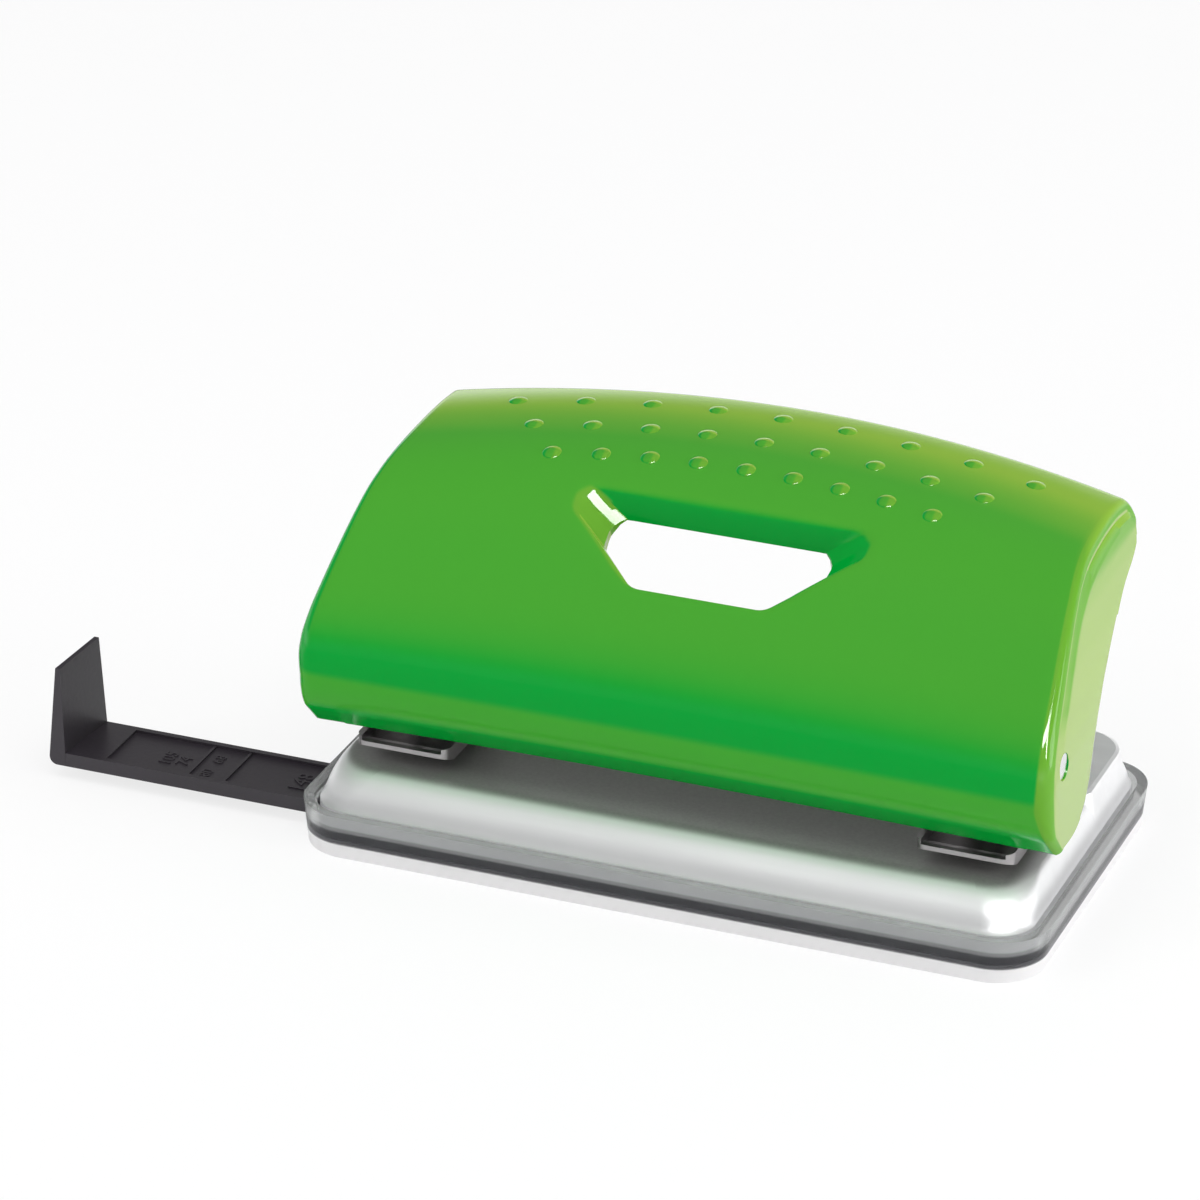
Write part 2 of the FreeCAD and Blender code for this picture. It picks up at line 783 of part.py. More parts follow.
def rounded_polygon(points, radii):
    """Wire round points in the XY plane, each corner an arc of its own radius."""
    count = len(points)
    joints = []
    for index, point in enumerate(points):
        before = (points[index - 1] - point).normalize()
        after = (points[(index + 1) % count] - point).normalize()
        bisector = (before + after).normalize()
        half = asin(min(1.0, (before - after).Length / 2))
        trim = radii[index] * cos(half) / sin(half)
        start = point + before * trim
        end = point + after * trim
        middle = point + bisector * (radii[index] / sin(half) - radii[index])
        joints.append((start, middle, end))
    edges = []
    for index, (start, middle, end) in enumerate(joints):
        edges.append(Part.Arc(start, middle, end).toShape())
        edges.append(Part.makeLine(end, joints[(index + 1) % count][0]))
    return Part.Wire(edges)


def window_wire(corners, slope, grow, drop):
    """Window outline in a plane that leans back by slope, drop below the window's front height."""
    front = corners[0][1]
    right = [(x, (distance - front) / cos(radians(slope))) for x, distance in corners]
    points = [Vector(x, v, 0) for x, v in right]
    points += [Vector(-x, v, 0) for x, v in reversed(right)]
    radii = list(window_radii) + list(reversed(window_radii))
    wire = rounded_polygon(points, radii)
    if grow:
        wire = wire.makeOffset2D(grow)
    wire.rotate(Vector(0, 0, 0), Vector(1, 0, 0), slope)
    wire.translate(Vector(0, back(front), window_foot_height - drop))
    return wire


def beyond(outer, inner):
    """Goes on from the inner value past the outer one by window_spread of their difference."""
    return outer + window_spread * (outer - inner)


def window_tools():
    """What is added round the window, and what is cut out of it."""
    above = [
        (beyond(outer[0], inner[0]), beyond(outer[1], inner[1]))
        for outer, inner in zip(window_outer, window_inner)
    ]
    rise = beyond(tan(radians(window_outer_slope)), tan(radians(window_inner_slope)))
    walls = Part.makeLoft([
        window_wire(above, degrees(atan(rise)), 0, beyond(0, window_drop)),
        window_wire(window_inner, window_inner_slope, 0, window_drop),
    ], True, True)
    lower = Part.Face(window_wire(window_inner, window_inner_slope, 0, window_drop - fit_gap))
    through = lower.extrude(Vector(0, 0, -window_reach))
    flange = Part.makeLoft([
        window_wire(window_outer, window_outer_slope, window_flange, 0),
        window_wire(window_inner, window_inner_slope, window_flange, window_drop + window_flange_depth),
    ], True, True)
    return flange, [walls, through]


def grip_domes():
    """Solids of the grip domes, each a low cap that stands on the cover's skin."""
    ball = (dome_radius ** 2 + dome_height ** 2) / (2 * dome_height)
    half_row = domes_per_row // 2
    solids = []
    for pitch, distance, height, forward, down in dome_rows:
        for place in range(-half_row, half_row + 1):
            x = place * pitch
            spot = bowed((distance, height, forward, down), x)
            solids.append(Part.makeSphere(ball, spot - Vector(0, 0, ball - dome_height)))
    return solids


def make_cover():
    block = lofted(cover_section).common(between_ends(0))
    block = round_ends(block)
    cavity = lofted(cavity_section).common(between_ends(cover_wall))
    flange, cuts = window_tools()
    skin = block.fuse(grip_domes()).cut(cavity)
    inside = [flange.common(block)]
    for side in (-1, 1):
        boss_top = lever_top + boss_reach
        boss = post(side * screw_spacing / 2, back(screw_back), lever_top, boss_top, boss_radius)
        inside.append(boss.common(block))
    skin = cut_all(skin.fuse(inside), cuts)
    end = rod_end()
    tools = [
        rod_x(0, end + 2, pivot_y, pivot_height, rod_head_radius + rod_hole_gap),
        rod_x(-end - 2, 0, pivot_y, pivot_height, rod_radius + rod_hole_gap),
    ]
    for side in (-1, 1):
        tools.append(post(
            side * screw_spacing / 2, back(screw_back), lever_top - 1, lever_bottom + screw_length + 0.5,
            screw_radius + fit_gap,
        ))
    return cut_all(skin, tools)


def middle_of(face):
    u0, u1, v0, v1 = face.ParameterRange
    return (u0 + u1) / 2, (v0 + v1) / 2


def round_ends(block):
    """Rounds the edges round both end faces."""
    edges = []
    for face in block.Faces:
        if abs(face.normalAt(*middle_of(face)).x) > 0.9:
            edges += face.Edges
    return block.makeFillet(cover_end_round, edges)


# Paper guide and its saddle

def skirt_inside():
    return skirt_half_length - base_sheet


def guide_travel_in():
    """Inward travel: the stop keeps clear of the tray's wall as the tray swings down."""
    rim = tray_length / 2 + tray_end_flare
    return guide_stop_face - guide_stop_skew - rim - guide_in_gap


def make_paper_guide():
    front = back(guide_front_back)
    rear = front + guide_width
    inner_end = skirt_inside() - guide_end_gap - guide_travel_in()
    strip = box(-guide_stop_face, inner_end, front, rear, guide_bottom, guide_top)
    recess = box(
        -guide_stop_face + guide_land, inner_end - guide_rim, front + guide_rim, rear - guide_rim,
        guide_top - guide_recess, guide_top + 1,
    )
    strip = strip.cut(recess)
    floor = guide_top - guide_recess
    marks = []
    for setting in guide_settings:
        x = -guide_stop_face + setting - reference_edge
        marks.append(box(
            x - guide_mark_width / 2, x + guide_mark_width / 2, front + guide_rim, rear - guide_rim,
            floor, floor + guide_mark_rise,
        ))
    return fuse_all([strip, guide_stop(front, rear)] + marks)


def guide_stop(front, rear):
    """Upturned stop: it leans out, tapers upward and is a little skewed."""
    face = -guide_stop_face
    foot = [
        Vector(face + 0.01, front, guide_bottom),
        Vector(face + guide_stop_skew, rear, guide_bottom),
        Vector(face + guide_stop_skew - guide_stop_foot, rear, guide_bottom),
        Vector(face - guide_stop_foot, front, guide_bottom),
    ]
    lean = face - guide_stop_lean
    inset = guide_stop_lean
    tip = [
        Vector(lean, front + inset, guide_stop_height - guide_stop_drop),
        Vector(lean + guide_stop_skew, rear - inset / 4, guide_stop_height),
        Vector(lean + guide_stop_skew - guide_stop_tip, rear - inset / 4, guide_stop_height),
        Vector(lean - guide_stop_tip, front + inset, guide_stop_height - guide_stop_drop),
    ]
    wires = [Part.makePolygon(points + points[:1]) for points in (foot, tip)]
    stop = Part.makeLoft(wires, True, True)
    low = [e for e in stop.Edges if e.BoundBox.ZMax < guide_bottom + fit_gap and e.Length > guide_width / 2]
    corner = min(low, key=lambda edge: edge.CenterOfMass.x)
    return stop.makeFillet(guide_stop_round, [corner])


def saddle_rivet_places():
    x = -saddle_left + saddle_width / 2
    first = back(guide_front_back + guide_width) + guide_run_gap + saddle_sheet + saddle_flange_depth / 2
    return [(x, first + sign * saddle_rivet_pitch / 2) for sign in (-1, 1)]


def make_guide_saddle():
    """Bent strip: a hook round the guide's front edge, under it, up and back to the base."""
    front = back(guide_front_back) - guide_run_gap
    rear = back(guide_front_back + guide_width) + guide_run_gap
    under = guide_bottom - guide_run_gap
    top = platform_height - base_sheet
    sheet = saddle_sheet
    outline = [
        (front, guide_top + saddle_hook_rise),
        (front - sheet, guide_top + saddle_hook_rise),
        (front - sheet, under - sheet),
        (rear + sheet, under - sheet),
        (rear + sheet, top - sheet),
        (rear + sheet + saddle_flange_depth, top - sheet),
        (rear + sheet + saddle_flange_depth, top),
        (rear, top),
        (rear, under),
        (front, under),
    ]
    saddle = side_prism(outline, -saddle_left, -saddle_left + saddle_width)
    for x, y in saddle_rivet_places():
        saddle = saddle.cut(post(x, y, top - sheet - 1, top + 1, saddle_rivet_radius + fit_gap))
    return saddle


def make_saddle_rivets():
    under = platform_height - base_sheet - saddle_sheet
    solids = []
    for x, y in saddle_rivet_places():
        shank = post(x, y, under - saddle_rivet_height, platform_height, saddle_rivet_radius)
        head = post(x, y, under - saddle_rivet_height, under, saddle_rivet_head)
        solids.append(shank.fuse(head).removeSplitter())
    return Part.makeCompound(solids)


def make_all():
    left, right = -hole_spacing / 2, hole_spacing / 2
    return {
        "chip_tray": make_chip_tray(),
        "base_plate": make_base_plate(),
        "paper_guide": make_paper_guide(),
        "guide_saddle": make_guide_saddle(),
        "guide_saddle_rivets": make_saddle_rivets(),
        "bracket_left": make_bracket(left),
        "bracket_right": make_bracket(right),
        "bracket_rivets_left": make_bracket_rivets(-1),
        "bracket_rivets_right": make_bracket_rivets(1),
        "punch_left": make_punch(left),
        "punch_right": make_punch(right),
        "punch_clip_left": make_punch_clip(left),
        "punch_clip_right": make_punch_clip(right),
        "punch_spring_left": make_punch_spring(left),
        "punch_spring_right": make_punch_spring(right),
        "pivot_rod": make_pivot_rod(),
        "pivot_clip_left": make_pivot_clip(-1),
        "pivot_clip_right": make_pivot_clip(1),
        "lever_frame": make_lever_frame(),
        "cover_screws": make_cover_screws(),
        "cover": make_cover(),
    }


os.makedirs("parts", exist_ok=True)
for name, shape in make_all().items():
    if not shape.isValid():
        print("not valid:", name)
    print(name, len(shape.Solids), "solids,", round(shape.Volume, 2), "mm3")
    shape.exportStep("parts/" + name + ".step")
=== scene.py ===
import json
import math

import bmesh
import bpy
import numpy as np
from mathutils import Euler, Matrix, Vector


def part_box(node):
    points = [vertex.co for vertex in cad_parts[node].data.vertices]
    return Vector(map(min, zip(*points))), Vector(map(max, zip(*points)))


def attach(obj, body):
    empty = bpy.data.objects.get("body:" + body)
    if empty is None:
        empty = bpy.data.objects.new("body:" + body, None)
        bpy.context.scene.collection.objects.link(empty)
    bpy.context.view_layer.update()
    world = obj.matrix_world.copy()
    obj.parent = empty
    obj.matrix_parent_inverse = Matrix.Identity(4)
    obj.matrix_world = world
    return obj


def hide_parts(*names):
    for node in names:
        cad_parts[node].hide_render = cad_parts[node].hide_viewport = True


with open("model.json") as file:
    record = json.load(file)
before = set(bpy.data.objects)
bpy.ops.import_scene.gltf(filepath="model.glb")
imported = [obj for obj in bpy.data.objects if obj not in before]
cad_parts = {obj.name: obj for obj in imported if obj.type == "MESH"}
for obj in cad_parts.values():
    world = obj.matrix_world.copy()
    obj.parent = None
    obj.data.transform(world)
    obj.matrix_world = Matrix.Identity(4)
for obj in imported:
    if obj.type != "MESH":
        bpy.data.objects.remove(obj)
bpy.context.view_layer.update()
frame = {"nodes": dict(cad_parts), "record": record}
cadNodes = frame["nodes"]
mm = 0.001

print("frame loaded:", len(cadNodes), "nodes")


# Camera, where the photograph was taken from

camera = {
    "place": (0.2437, -0.6695, 0.3704),
    "turn": 21.41,        # degrees to the left of straight back
    "tilt": 25.26,        # degrees down
    "roll": -0.429,
    "focalPixels": 5864,  # in an image 1200 pixels wide
    "imagePixels": 1200,
    "sensor": 36,         # millimetres
    "farthest": 20,
}


def addToScene(obj):
    bpy.context.scene.collection.objects.link(obj)
    return obj


def makeCamera():
    data = bpy.data.cameras.new("camera")
    data.sensor_width = camera["sensor"]
    data.lens = camera["focalPixels"] / camera["imagePixels"] * camera["sensor"]
    data.clip_end = camera["farthest"]
    obj = addToScene(bpy.data.objects.new("camera", data))
    obj.location = camera["place"]
    look = Euler((math.radians(90 - camera["tilt"]), 0, math.radians(camera["turn"]))).to_matrix()
    roll = Euler((0, 0, math.radians(-camera["roll"]))).to_matrix()
    obj.rotation_euler = (look @ roll).to_euler()
    bpy.context.scene.camera = obj


makeCamera()
print("camera ready")


# Shader building blocks

class Wire:                    # a socket that can be used in sums
    def __init__(self, graph, socket):
        self.graph = graph
        self.socket = socket

    def maths(self, operation, left, right):
        return self.graph.add("ShaderNodeMath", {"operation": operation}, {0: left, 1: right})

    def __add__(self, other):
        return self.maths("ADD", self, other)

    def __radd__(self, other):
        return self.maths("ADD", other, self)

    def __sub__(self, other):
        return self.maths("SUBTRACT", self, other)

    def __rsub__(self, other):
        return self.maths("SUBTRACT", other, self)

    def __mul__(self, other):
        return self.maths("MULTIPLY", self, other)

    def __rmul__(self, other):
        return self.maths("MULTIPLY", other, self)


class Graph:                   # the shader nodes of a material or of the world
    def __init__(self, owner):
        owner.use_nodes = True
        self.owner = owner
        self.tree = owner.node_tree
        self.tree.nodes.clear()

    def add(self, kind, settings=None, values=None, out=0):
        node = self.tree.nodes.new(kind)
        for key, value in (settings or {}).items():
            setattr(node, key, value)
        for key, value in (values or {}).items():
            self.feed(node.inputs[key], value)
        return Wire(self, node.outputs[out]) if node.outputs else node

    def feed(self, socket, value):
        if isinstance(value, Wire):
            self.tree.links.new(value.socket, socket)
        else:
            socket.default_value = value


def newFinish(name):
    return Graph(bpy.data.materials.new(name))


def finishWith(graph, surface):
    graph.add("ShaderNodeOutputMaterial", {}, {"Surface": surface})
    return graph.owner


def spot(graph, stretch=(1, 1, 1)):    # place on the piece in its own frame, stretched
    here = graph.add("ShaderNodeTexCoord", out="Object")
    return graph.add("ShaderNodeVectorMath", {"operation": "MULTIPLY"}, {0: here, 1: stretch})


def noise(graph, scale, detail=2.0, stretch=(1, 1, 1)):
    values = {"Vector": spot(graph, stretch), "Scale": scale, "Detail": detail}
    return graph.add("ShaderNodeTexNoise", {}, values)


def axisOf(graph, vector, axis):       # X, Y or Z of a vector
    return graph.add("ShaderNodeSeparateXYZ", {}, {0: vector}, out=axis)


def ramp(graph, value, low, high):     # 0 at low and 1 at high, smooth between; low may be the larger
    settings = {"interpolation_type": "SMOOTHSTEP"}
    return graph.add("ShaderNodeMapRange", settings, {"Value": value, "From Min": low, "From Max": high})


def mixed(graph, share, first, second):
    return graph.add("ShaderNodeMix", {"data_type": "RGBA"}, {0: share, 6: first, 7: second}, out=2)


def bumped(graph, height, strength, distance):
    return graph.add("ShaderNodeBump", {}, {"Height": height, "Strength": strength, "Distance": distance})


# Finishes

# One green, painted lighter and darker by which way the skin faces: these colours are painted light and shade
greenPlastic = {
    "steepShade": (0.0, 0.325, 0.033, 1),       # painted shade where the skin stands upright or faces left
    "under": (0.05, 0.36, 0.028, 1),       # painted light, as from the desk, where it leans back to the desk
    "middle": (0.062, 0.35, 0.027, 1),
    "tiltedLit": (0.13, 0.37, 0.03, 1),       # painted light where it turns towards the right
    "ridge": (0.24, 0.44, 0.045, 1),       # painted light along the top of the grip
    # painted light: the ends are pale as if lit strongly from the right
    "ends": (0.33, 0.46, 0.13, 1),
    # the painted light and shade change between these values of the skin's normal across, back or up
    "underFromUp": (-0.03, -0.15),
    "underToUp": (-0.6, -0.45),
    "middleUp": (0.25, 0.85),
    "middleAcross": (-0.35, -0.18),
    "tiltedAcross": (0.07, 0.22),
    "ridgeFromBack": (-0.14, 0.02),
    "ridgeToBack": (0.3, 0.6),
    "ridgeUp": (0.5, 0.8),
    "endsAcross": (0.95, 0.985),
    "roughness": 0.07,
    "smudge": 0.05,            # how much rougher the skin gets in places
    "smudgeScale": 45,
    "mirror": 0.1,             # below 0.5 the skin mirrors less than bare plastic does
    "coat": 0.9,               # clear gloss where the skin faces up
    "coatUp": (0.35, 0.8),
    "ridgeCoat": 0.4,          # share of it along the ridge
    "endCoat": 0.3,            # and on the ends and their rounded edges
    "endCoatAcross": (0.3, 0.6),
    "orangePeel": 700,
    "peelStrength": 0.04,
    "peelDepth": 0.0001,
}


def makeGreenPlastic():
    look = greenPlastic
    g = newFinish("greenPlastic")
    way = g.add("ShaderNodeTexCoord", out="Normal")
    across, back, up = (axisOf(g, way, axis) for axis in "XYZ")
    side = g.add("ShaderNodeMath", {"operation": "ABSOLUTE"}, {0: across})
    # painted shade and painted light chosen by the skin's normal, in place of how the lamps fall on it
    leaning = ramp(g, up, *look["underFromUp"]) * ramp(g, up, *look["underToUp"])
    below = mixed(g, leaning, look["steepShade"], look["under"])
    above = ramp(g, up, *look["middleUp"]) * ramp(g, across, *look["middleAcross"])
    front = mixed(g, above, below, look["middle"])
    turned = mixed(g, ramp(g, across, *look["tiltedAcross"]), front, look["tiltedLit"])
    nearTop = ramp(g, back, *look["ridgeFromBack"]) * (1 - ramp(g, back, *look["ridgeToBack"]))
    onTop = nearTop * ramp(g, up, *look["ridgeUp"])
    ridgeLitColor = mixed(g, onTop, turned, look["ridge"])
    color = mixed(g, ramp(g, side, *look["endsAcross"]), ridgeLitColor, look["ends"])
    gloss = ramp(g, up + side, *look["coatUp"]) * (1 - (1 - look["ridgeCoat"]) * onTop)
    dulled = 1 - (1 - look["endCoat"]) * ramp(g, side, *look["endCoatAcross"])
    smudge = noise(g, look["smudgeScale"], 3)
    ripple = noise(g, look["orangePeel"], 1)
    return finishWith(g, g.add("ShaderNodeBsdfPrincipled", {}, {
        "Base Color": color,
        "Roughness": look["roughness"] + look["smudge"] * smudge,
        "Specular IOR Level": look["mirror"],
        "Coat Weight": look["coat"] * gloss * dulled,
        "Coat Roughness": 0.04,
        "Normal": bumped(g, ripple, look["peelStrength"], look["peelDepth"]),
    }))


plainSteel = {
    "darkSteel": {"color": (0.44, 0.425, 0.43, 1), "dull": (0.33, 0.315, 0.32, 1), "roughness": 0.36},
    "brightSteel": {"color": (0.88, 0.88, 0.88, 1), "dull": (0.8, 0.8, 0.81, 1), "roughness": 0.2},
    "springSteel": {"color": (0.62, 0.62, 0.63, 1), "dull": (0.45, 0.45, 0.46, 1), "roughness": 0.28},
    "grain": 2600,
    "streakScale": 400,
    "spread": 0.08,            # how much the grain and the streaks each add to the roughness
    "bumpStrength": 0.2,
    "bumpDepth": 0.00004,
}


def makeSteel(name):
    g = newFinish(name)
    steel = plainSteel[name]
    fine = noise(g, plainSteel["grain"], 3)
    streak = noise(g, plainSteel["streakScale"], 3)
    spread = plainSteel["spread"]
    return finishWith(g, g.add("ShaderNodeBsdfPrincipled", {}, {
        "Base Color": mixed(g, streak, steel["dull"], steel["color"]),
        "Metallic": 1.0,
        "Roughness": steel["roughness"] - spread + spread * fine + spread * streak,
        "Normal": bumped(g, fine + streak, plainSteel["bumpStrength"], plainSteel["bumpDepth"]),
    }))


guidePlastic = {
    "dark": (0.018, 0.015, 0.019, 1),
    "pale": (0.038, 0.032, 0.041, 1),
    "cloudScale": 40,
    "grain": 1500,
    "roughness": (0.3, 0.15),  # at least, and added by the grain
}


def makeGuidePlastic():
    g = newFinish("blackPlastic")
    fine = noise(g, guidePlastic["grain"], 4)
    cloud = noise(g, guidePlastic["cloudScale"], 3)
    least, added = guidePlastic["roughness"]
    return finishWith(g, g.add("ShaderNodeBsdfPrincipled", {}, {
        "Base Color": mixed(g, cloud, guidePlastic["dark"], guidePlastic["pale"]),
        "Roughness": least + added * fine,
        "Normal": bumped(g, fine, 0.15, 0.0001),
    }))


trayPlastic = {
    "milky": (0.86, 0.85, 0.85, 1),
    "milkyPale": (0.9, 0.89, 0.9, 1),
    "shadeBand": (0.1, 0.1, 0.11, 1),           # painted shade: the shaded floor's edge, seen through the wall
    "clear": (0.68, 0.69, 0.69, 1),
    "milkyTo": 0.0020,         # heights in metres
    "bandTo": 0.0040,
    "soft": 0.0002,            # how far each border is blurred up and down
    "outer": (0, 0.005),       # the outer wall: place on the tray times the wall's normal
    "cloudScale": 60,
    "grain": 1200,
    "cloudRoughness": 0.1,
}


def makeTrayPlastic():
    look = trayPlastic
    g = newFinish("softPlastic")
    here = spot(g)
    height = axisOf(g, here, "Z")
    way = g.add("ShaderNodeTexCoord", out="Normal")
    outwards = g.add("ShaderNodeVectorMath", {"operation": "DOT_PRODUCT"}, {0: here, 1: way}, out=1)
    soft = look["soft"]
    overMilky = ramp(g, height, look["milkyTo"] - soft, look["milkyTo"] + soft)
    overBand = ramp(g, height, look["bandTo"] - soft, look["bandTo"] + soft)
    # painted shade band on the outer wall, below bandTo
    shadeBand = ramp(g, outwards, *look["outer"]) * (1 - overBand)
    cloud = noise(g, look["cloudScale"], 2)
    fine = noise(g, look["grain"], 2)
    clear = g.add("ShaderNodeBsdfPrincipled", {}, {
        "Base Color": mixed(g, shadeBand, look["clear"], look["shadeBand"]),
        "Roughness": 0.18 + look["cloudRoughness"] * cloud,
        "Transmission Weight": 0.8,
        "IOR": 1.3,
        "Normal": bumped(g, fine, 0.05, 0.0001),
    })
    milky = g.add("ShaderNodeBsdfPrincipled", {}, {
        "Base Color": mixed(g, cloud, look["milky"], look["milkyPale"]),
        "Roughness": 0.25 + look["cloudRoughness"] * cloud,
        "Transmission Weight": 0.2,
        "IOR": 1.4,
        "Normal": bumped(g, fine, 0.05, 0.0001),
    })
    return finishWith(g, g.add("ShaderNodeMixShader", {}, {0: overMilky, 1: milky, 2: clear}))


satinSteel = {
    # painted shade low on the skirt, painted light higher up
    "low": (0.68, 0.68, 0.69, 1),
    "high": (0.88, 0.88, 0.89, 1),
    "highTo": (0.0068, 0.0088),            # heights between which the skirt goes from painted shade at its foot to painted light on its shoulder
    "dull": 0.88,                          # brightness between the streaks
    # painted shade and painted reflection: the platform's dark grey
    "flat": (0.36, 0.36, 0.35, 1),
    "flatDull": (0.25, 0.25, 0.243, 1),
    "flatFrom": (0.0098, 0.0105),          # heights where the platform's grainy painted shade begins and ends
    "flatTo": (0.0109, 0.0115),
    "flatUp": (0.9, 0.995),                # how level it has to be
    "flatFade": (0.046, 0.0495),           # distances from the middle where it fades to the right shoulder
    "metal": 0.45,
    "roughness": 0.36,
    "spread": 0.06,                        # how much the grain and the streaks each add to the roughness
    "streaks": (0.06, 1, 1),
    "streakScale": 500,
    "grain": 2200,
    "bumpStrength": 0.2,
    "bumpDepth": 0.00004,
}


def makeSatinSteel():          # the base: brushed shoulders with painted shade at their foot and painted light above, and a grainy platform painted dark as painted shade and painted reflection of the cover's underside
    look = satinSteel
    g = newFinish("satinSteel")
    fine = noise(g, look["grain"], 4)
    streak = noise(g, look["streakScale"], 3, look["streaks"])
    here = spot(g)
    height = axisOf(g, here, "Z")
    up = axisOf(g, g.add("ShaderNodeTexCoord", out="Normal"), "Z")
    # painted shade on the level platform, fading out towards the right shoulder
    level = ramp(g, height, *look["flatFrom"]) * (1 - ramp(g, height, *look["flatTo"]))
    leftOfFade = 1 - ramp(g, axisOf(g, here, "X"), *look["flatFade"])
    flat = level * ramp(g, up, *look["flatUp"]) * leftOfFade
    skirt = mixed(g, ramp(g, height, *look["highTo"]), look["low"], look["high"])
    grey = look["dull"] + (1 - look["dull"]) * streak
    shade = g.add("ShaderNodeVectorMath", {"operation": "SCALE"}, {0: skirt, "Scale": grey})
    platform = mixed(g, fine, look["flatDull"], look["flat"])
    return finishWith(g, g.add("ShaderNodeBsdfPrincipled", {}, {
        "Base Color": mixed(g, flat, shade, platform),
        "Metallic": look["metal"],
        "Roughness": look["roughness"] + look["spread"] * fine + look["spread"] * streak,
        "Normal": bumped(g, fine + streak, look["bumpStrength"], look["bumpDepth"]),
    }))


finishes = {
    "cover_plastic": makeGreenPlastic(),
    "base_steel": makeSatinSteel(),
    "bracket_steel": makeSteel("darkSteel"),
    "bright_steel": makeSteel("brightSteel"),
    "spring_steel": makeSteel("springSteel"),
    "guide_plastic": makeGuidePlastic(),
    "tray_plastic": makeTrayPlastic(),
}


def dress(obj, material):
    obj.data.materials.clear()
    obj.data.materials.append(material)


for subpart in frame["record"]["subparts"]:
    dress(cadNodes[subpart["node"]], finishes[subpart["material_slot"]])
print("finishes on", len(cadNodes), "nodes")


# Mesh building blocks

class Sheet:                   # vertices in millimetres and faces, made into a piece at the end
    def __init__(self):
        self.points = []
        self.faces = []
        self.thin = []         # vertices where a wall added later is thinner

    def add(self, point):
        self.points.append(point)
        return len(self.points) - 1

    def addRow(self, points):
        return [self.add(point) for point in points]

    def bridge(self, first, second, closed=False):     # quads between two rows of vertices
        count = len(first)
        for i in range(count if closed else count - 1):
            j = (i + 1) % count
            self.faces.append((first[i], first[j], second[j], second[i]))

    def object(self, name):
        mesh = bpy.data.meshes.new(name)
        mesh.from_pydata([[float(c) * mm for c in point] for point in self.points], [], self.faces)
        obj = addToScene(bpy.data.objects.new(name, mesh))
        if self.thin:
            group = obj.vertex_groups.new(name="thick")
            thick = sorted(set(range(len(self.points))) - set(self.thin))
            group.add(thick, 1.0, "REPLACE")
        return obj


def fullTurn(spokes):          # angles evenly round a circle
    return np.linspace(0, 2 * math.pi, spokes + 1)[:-1]


def modify(obj, kind, **settings):     # adds a modifier and applies it
    modifier = obj.modifiers.new(kind, kind)
    for key, value in settings.items():
        setattr(modifier, key, value)
    applied = obj.evaluated_get(bpy.context.evaluated_depsgraph_get())
    mesh = bpy.data.meshes.new_from_object(applied)
    obj.modifiers.clear()
    obj.data = mesh


def faceOutward(obj, place, way):      # makes normals agree, then outward at the face nearest a place
    work = bmesh.new()
    work.from_mesh(obj.data)
    bmesh.ops.recalc_face_normals(work, faces=work.faces)
    nearest = min(work.faces, key=lambda face: (face.calc_center_median() - Vector(place)).length)
    if nearest.normal.dot(Vector(way)) < 0:
        bmesh.ops.reverse_faces(work, faces=work.faces)
    work.to_mesh(obj.data)
    work.free()


def smooth(obj, degrees=40):
    obj.data.shade_smooth()
    obj.data.set_sharp_from_angle(angle=math.radians(degrees))


def settle(obj, body, slot, degrees=40):   # shading, finish and body of a new piece
    smooth(obj, degrees)
    dress(obj, finishes[slot])
    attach(obj, body)


# Cover: one moulded skin with a window, thickened inwards, with grip domes on its top

cover = {
    # front and top line in the middle plane: back, height, how far it bows forward and down at bowAt
    "front": [
        (10.4, 15.4, 0.7, 0.0), (7.0, 18.8, 0.8, 0.0), (4.9, 24.5, 1.0, 0.2), (5.6, 30.0, 1.3, 0.5),
        (9.3, 35.3, 1.8, 0.9), (14.2, 39.6, 2.3, 1.2), (19.6, 44.0, 2.8, 1.5), (26.3, 48.6, 3.2, 1.7),
        (33.3, 51.5, 3.5, 1.9), (40.3, 52.6, 3.6, 2.0), (47.9, 53.0, 3.6, 2.1), (52.6, 52.7, 3.4, 2.2),
    ],
    "nose": [(54.0, 51.9, 3.4, 2.2), (54.6, 50.6, 3.4, 2.2), (54.2, 49.3, 3.4, 2.2), (53.1, 48.1, 3.4, 2.2)],
    "rear": [       # the end faces' rear edge, from the nose down to the foot
        (53.1, 48.1, 3.4, 2.2), (48.8, 45.7, 3.1, 2.0), (44.8, 43.9, 2.6, 1.6), (37.7, 40.0, 1.7, 1.1),
        (26.8, 31.9, 0.8, 0.5), (23.1, 26.8, 0.3, 0.1), (20.8, 21.5, 0.0, 0.0), (19.3, 18.9, 0.0, 0.0),
        (16.7, 17.0, 0.0, 0.0), (12.8, 16.2, 0.0, 0.0),
    ],
    "bowAt": 40.0,
    "footRows": 7,             # rows from the foot up to the crease
    "creaseRows": 5,
    "creaseRound": 0.5,
    "ends": [       # height and half length
        (12.0, 53.3), (22.0, 53.3), (28.0, 53.25), (31.0, 53.05), (34.4, 52.6), (38.5, 51.85),
        (43.6, 50.8), (46.0, 50.25), (48.0, 49.65), (50.0, 48.9), (54.0, 47.2),
    ],
    "endGuess": 52.0,          # where the search for a row's end starts, and its steps
    "endSteps": 6,
    "wall": 1.45,
    # heights and radii of the ends' edges
    "endRound": [(15.0, 1.2), (19.0, 1.5), (24.0, 2.8), (34.0, 2.2), (46.0, 1.4)],
    "endRoundShare": 0.45,     # most of the end face's width that its rounded edge takes
    "rimRound": 0.3,
    "rimRoom": 2.2,            # a face beside the rim is rounded if it is this many times as wide as that
    "thinRows": (9, 12),       # first and last rows whose ends have a thin wall, so that it stays inside
    "columns": 150,
    "rowStep": 0.55,           # distance between rows, and over the nose
    "noseStep": 0.275,
    "leafColumns": 14,         # over each end face, and round its edge
    "roundColumns": 8,
    "leafEnd": 0.8,            # gap between the end faces' rear edge and the tip of the nose
}
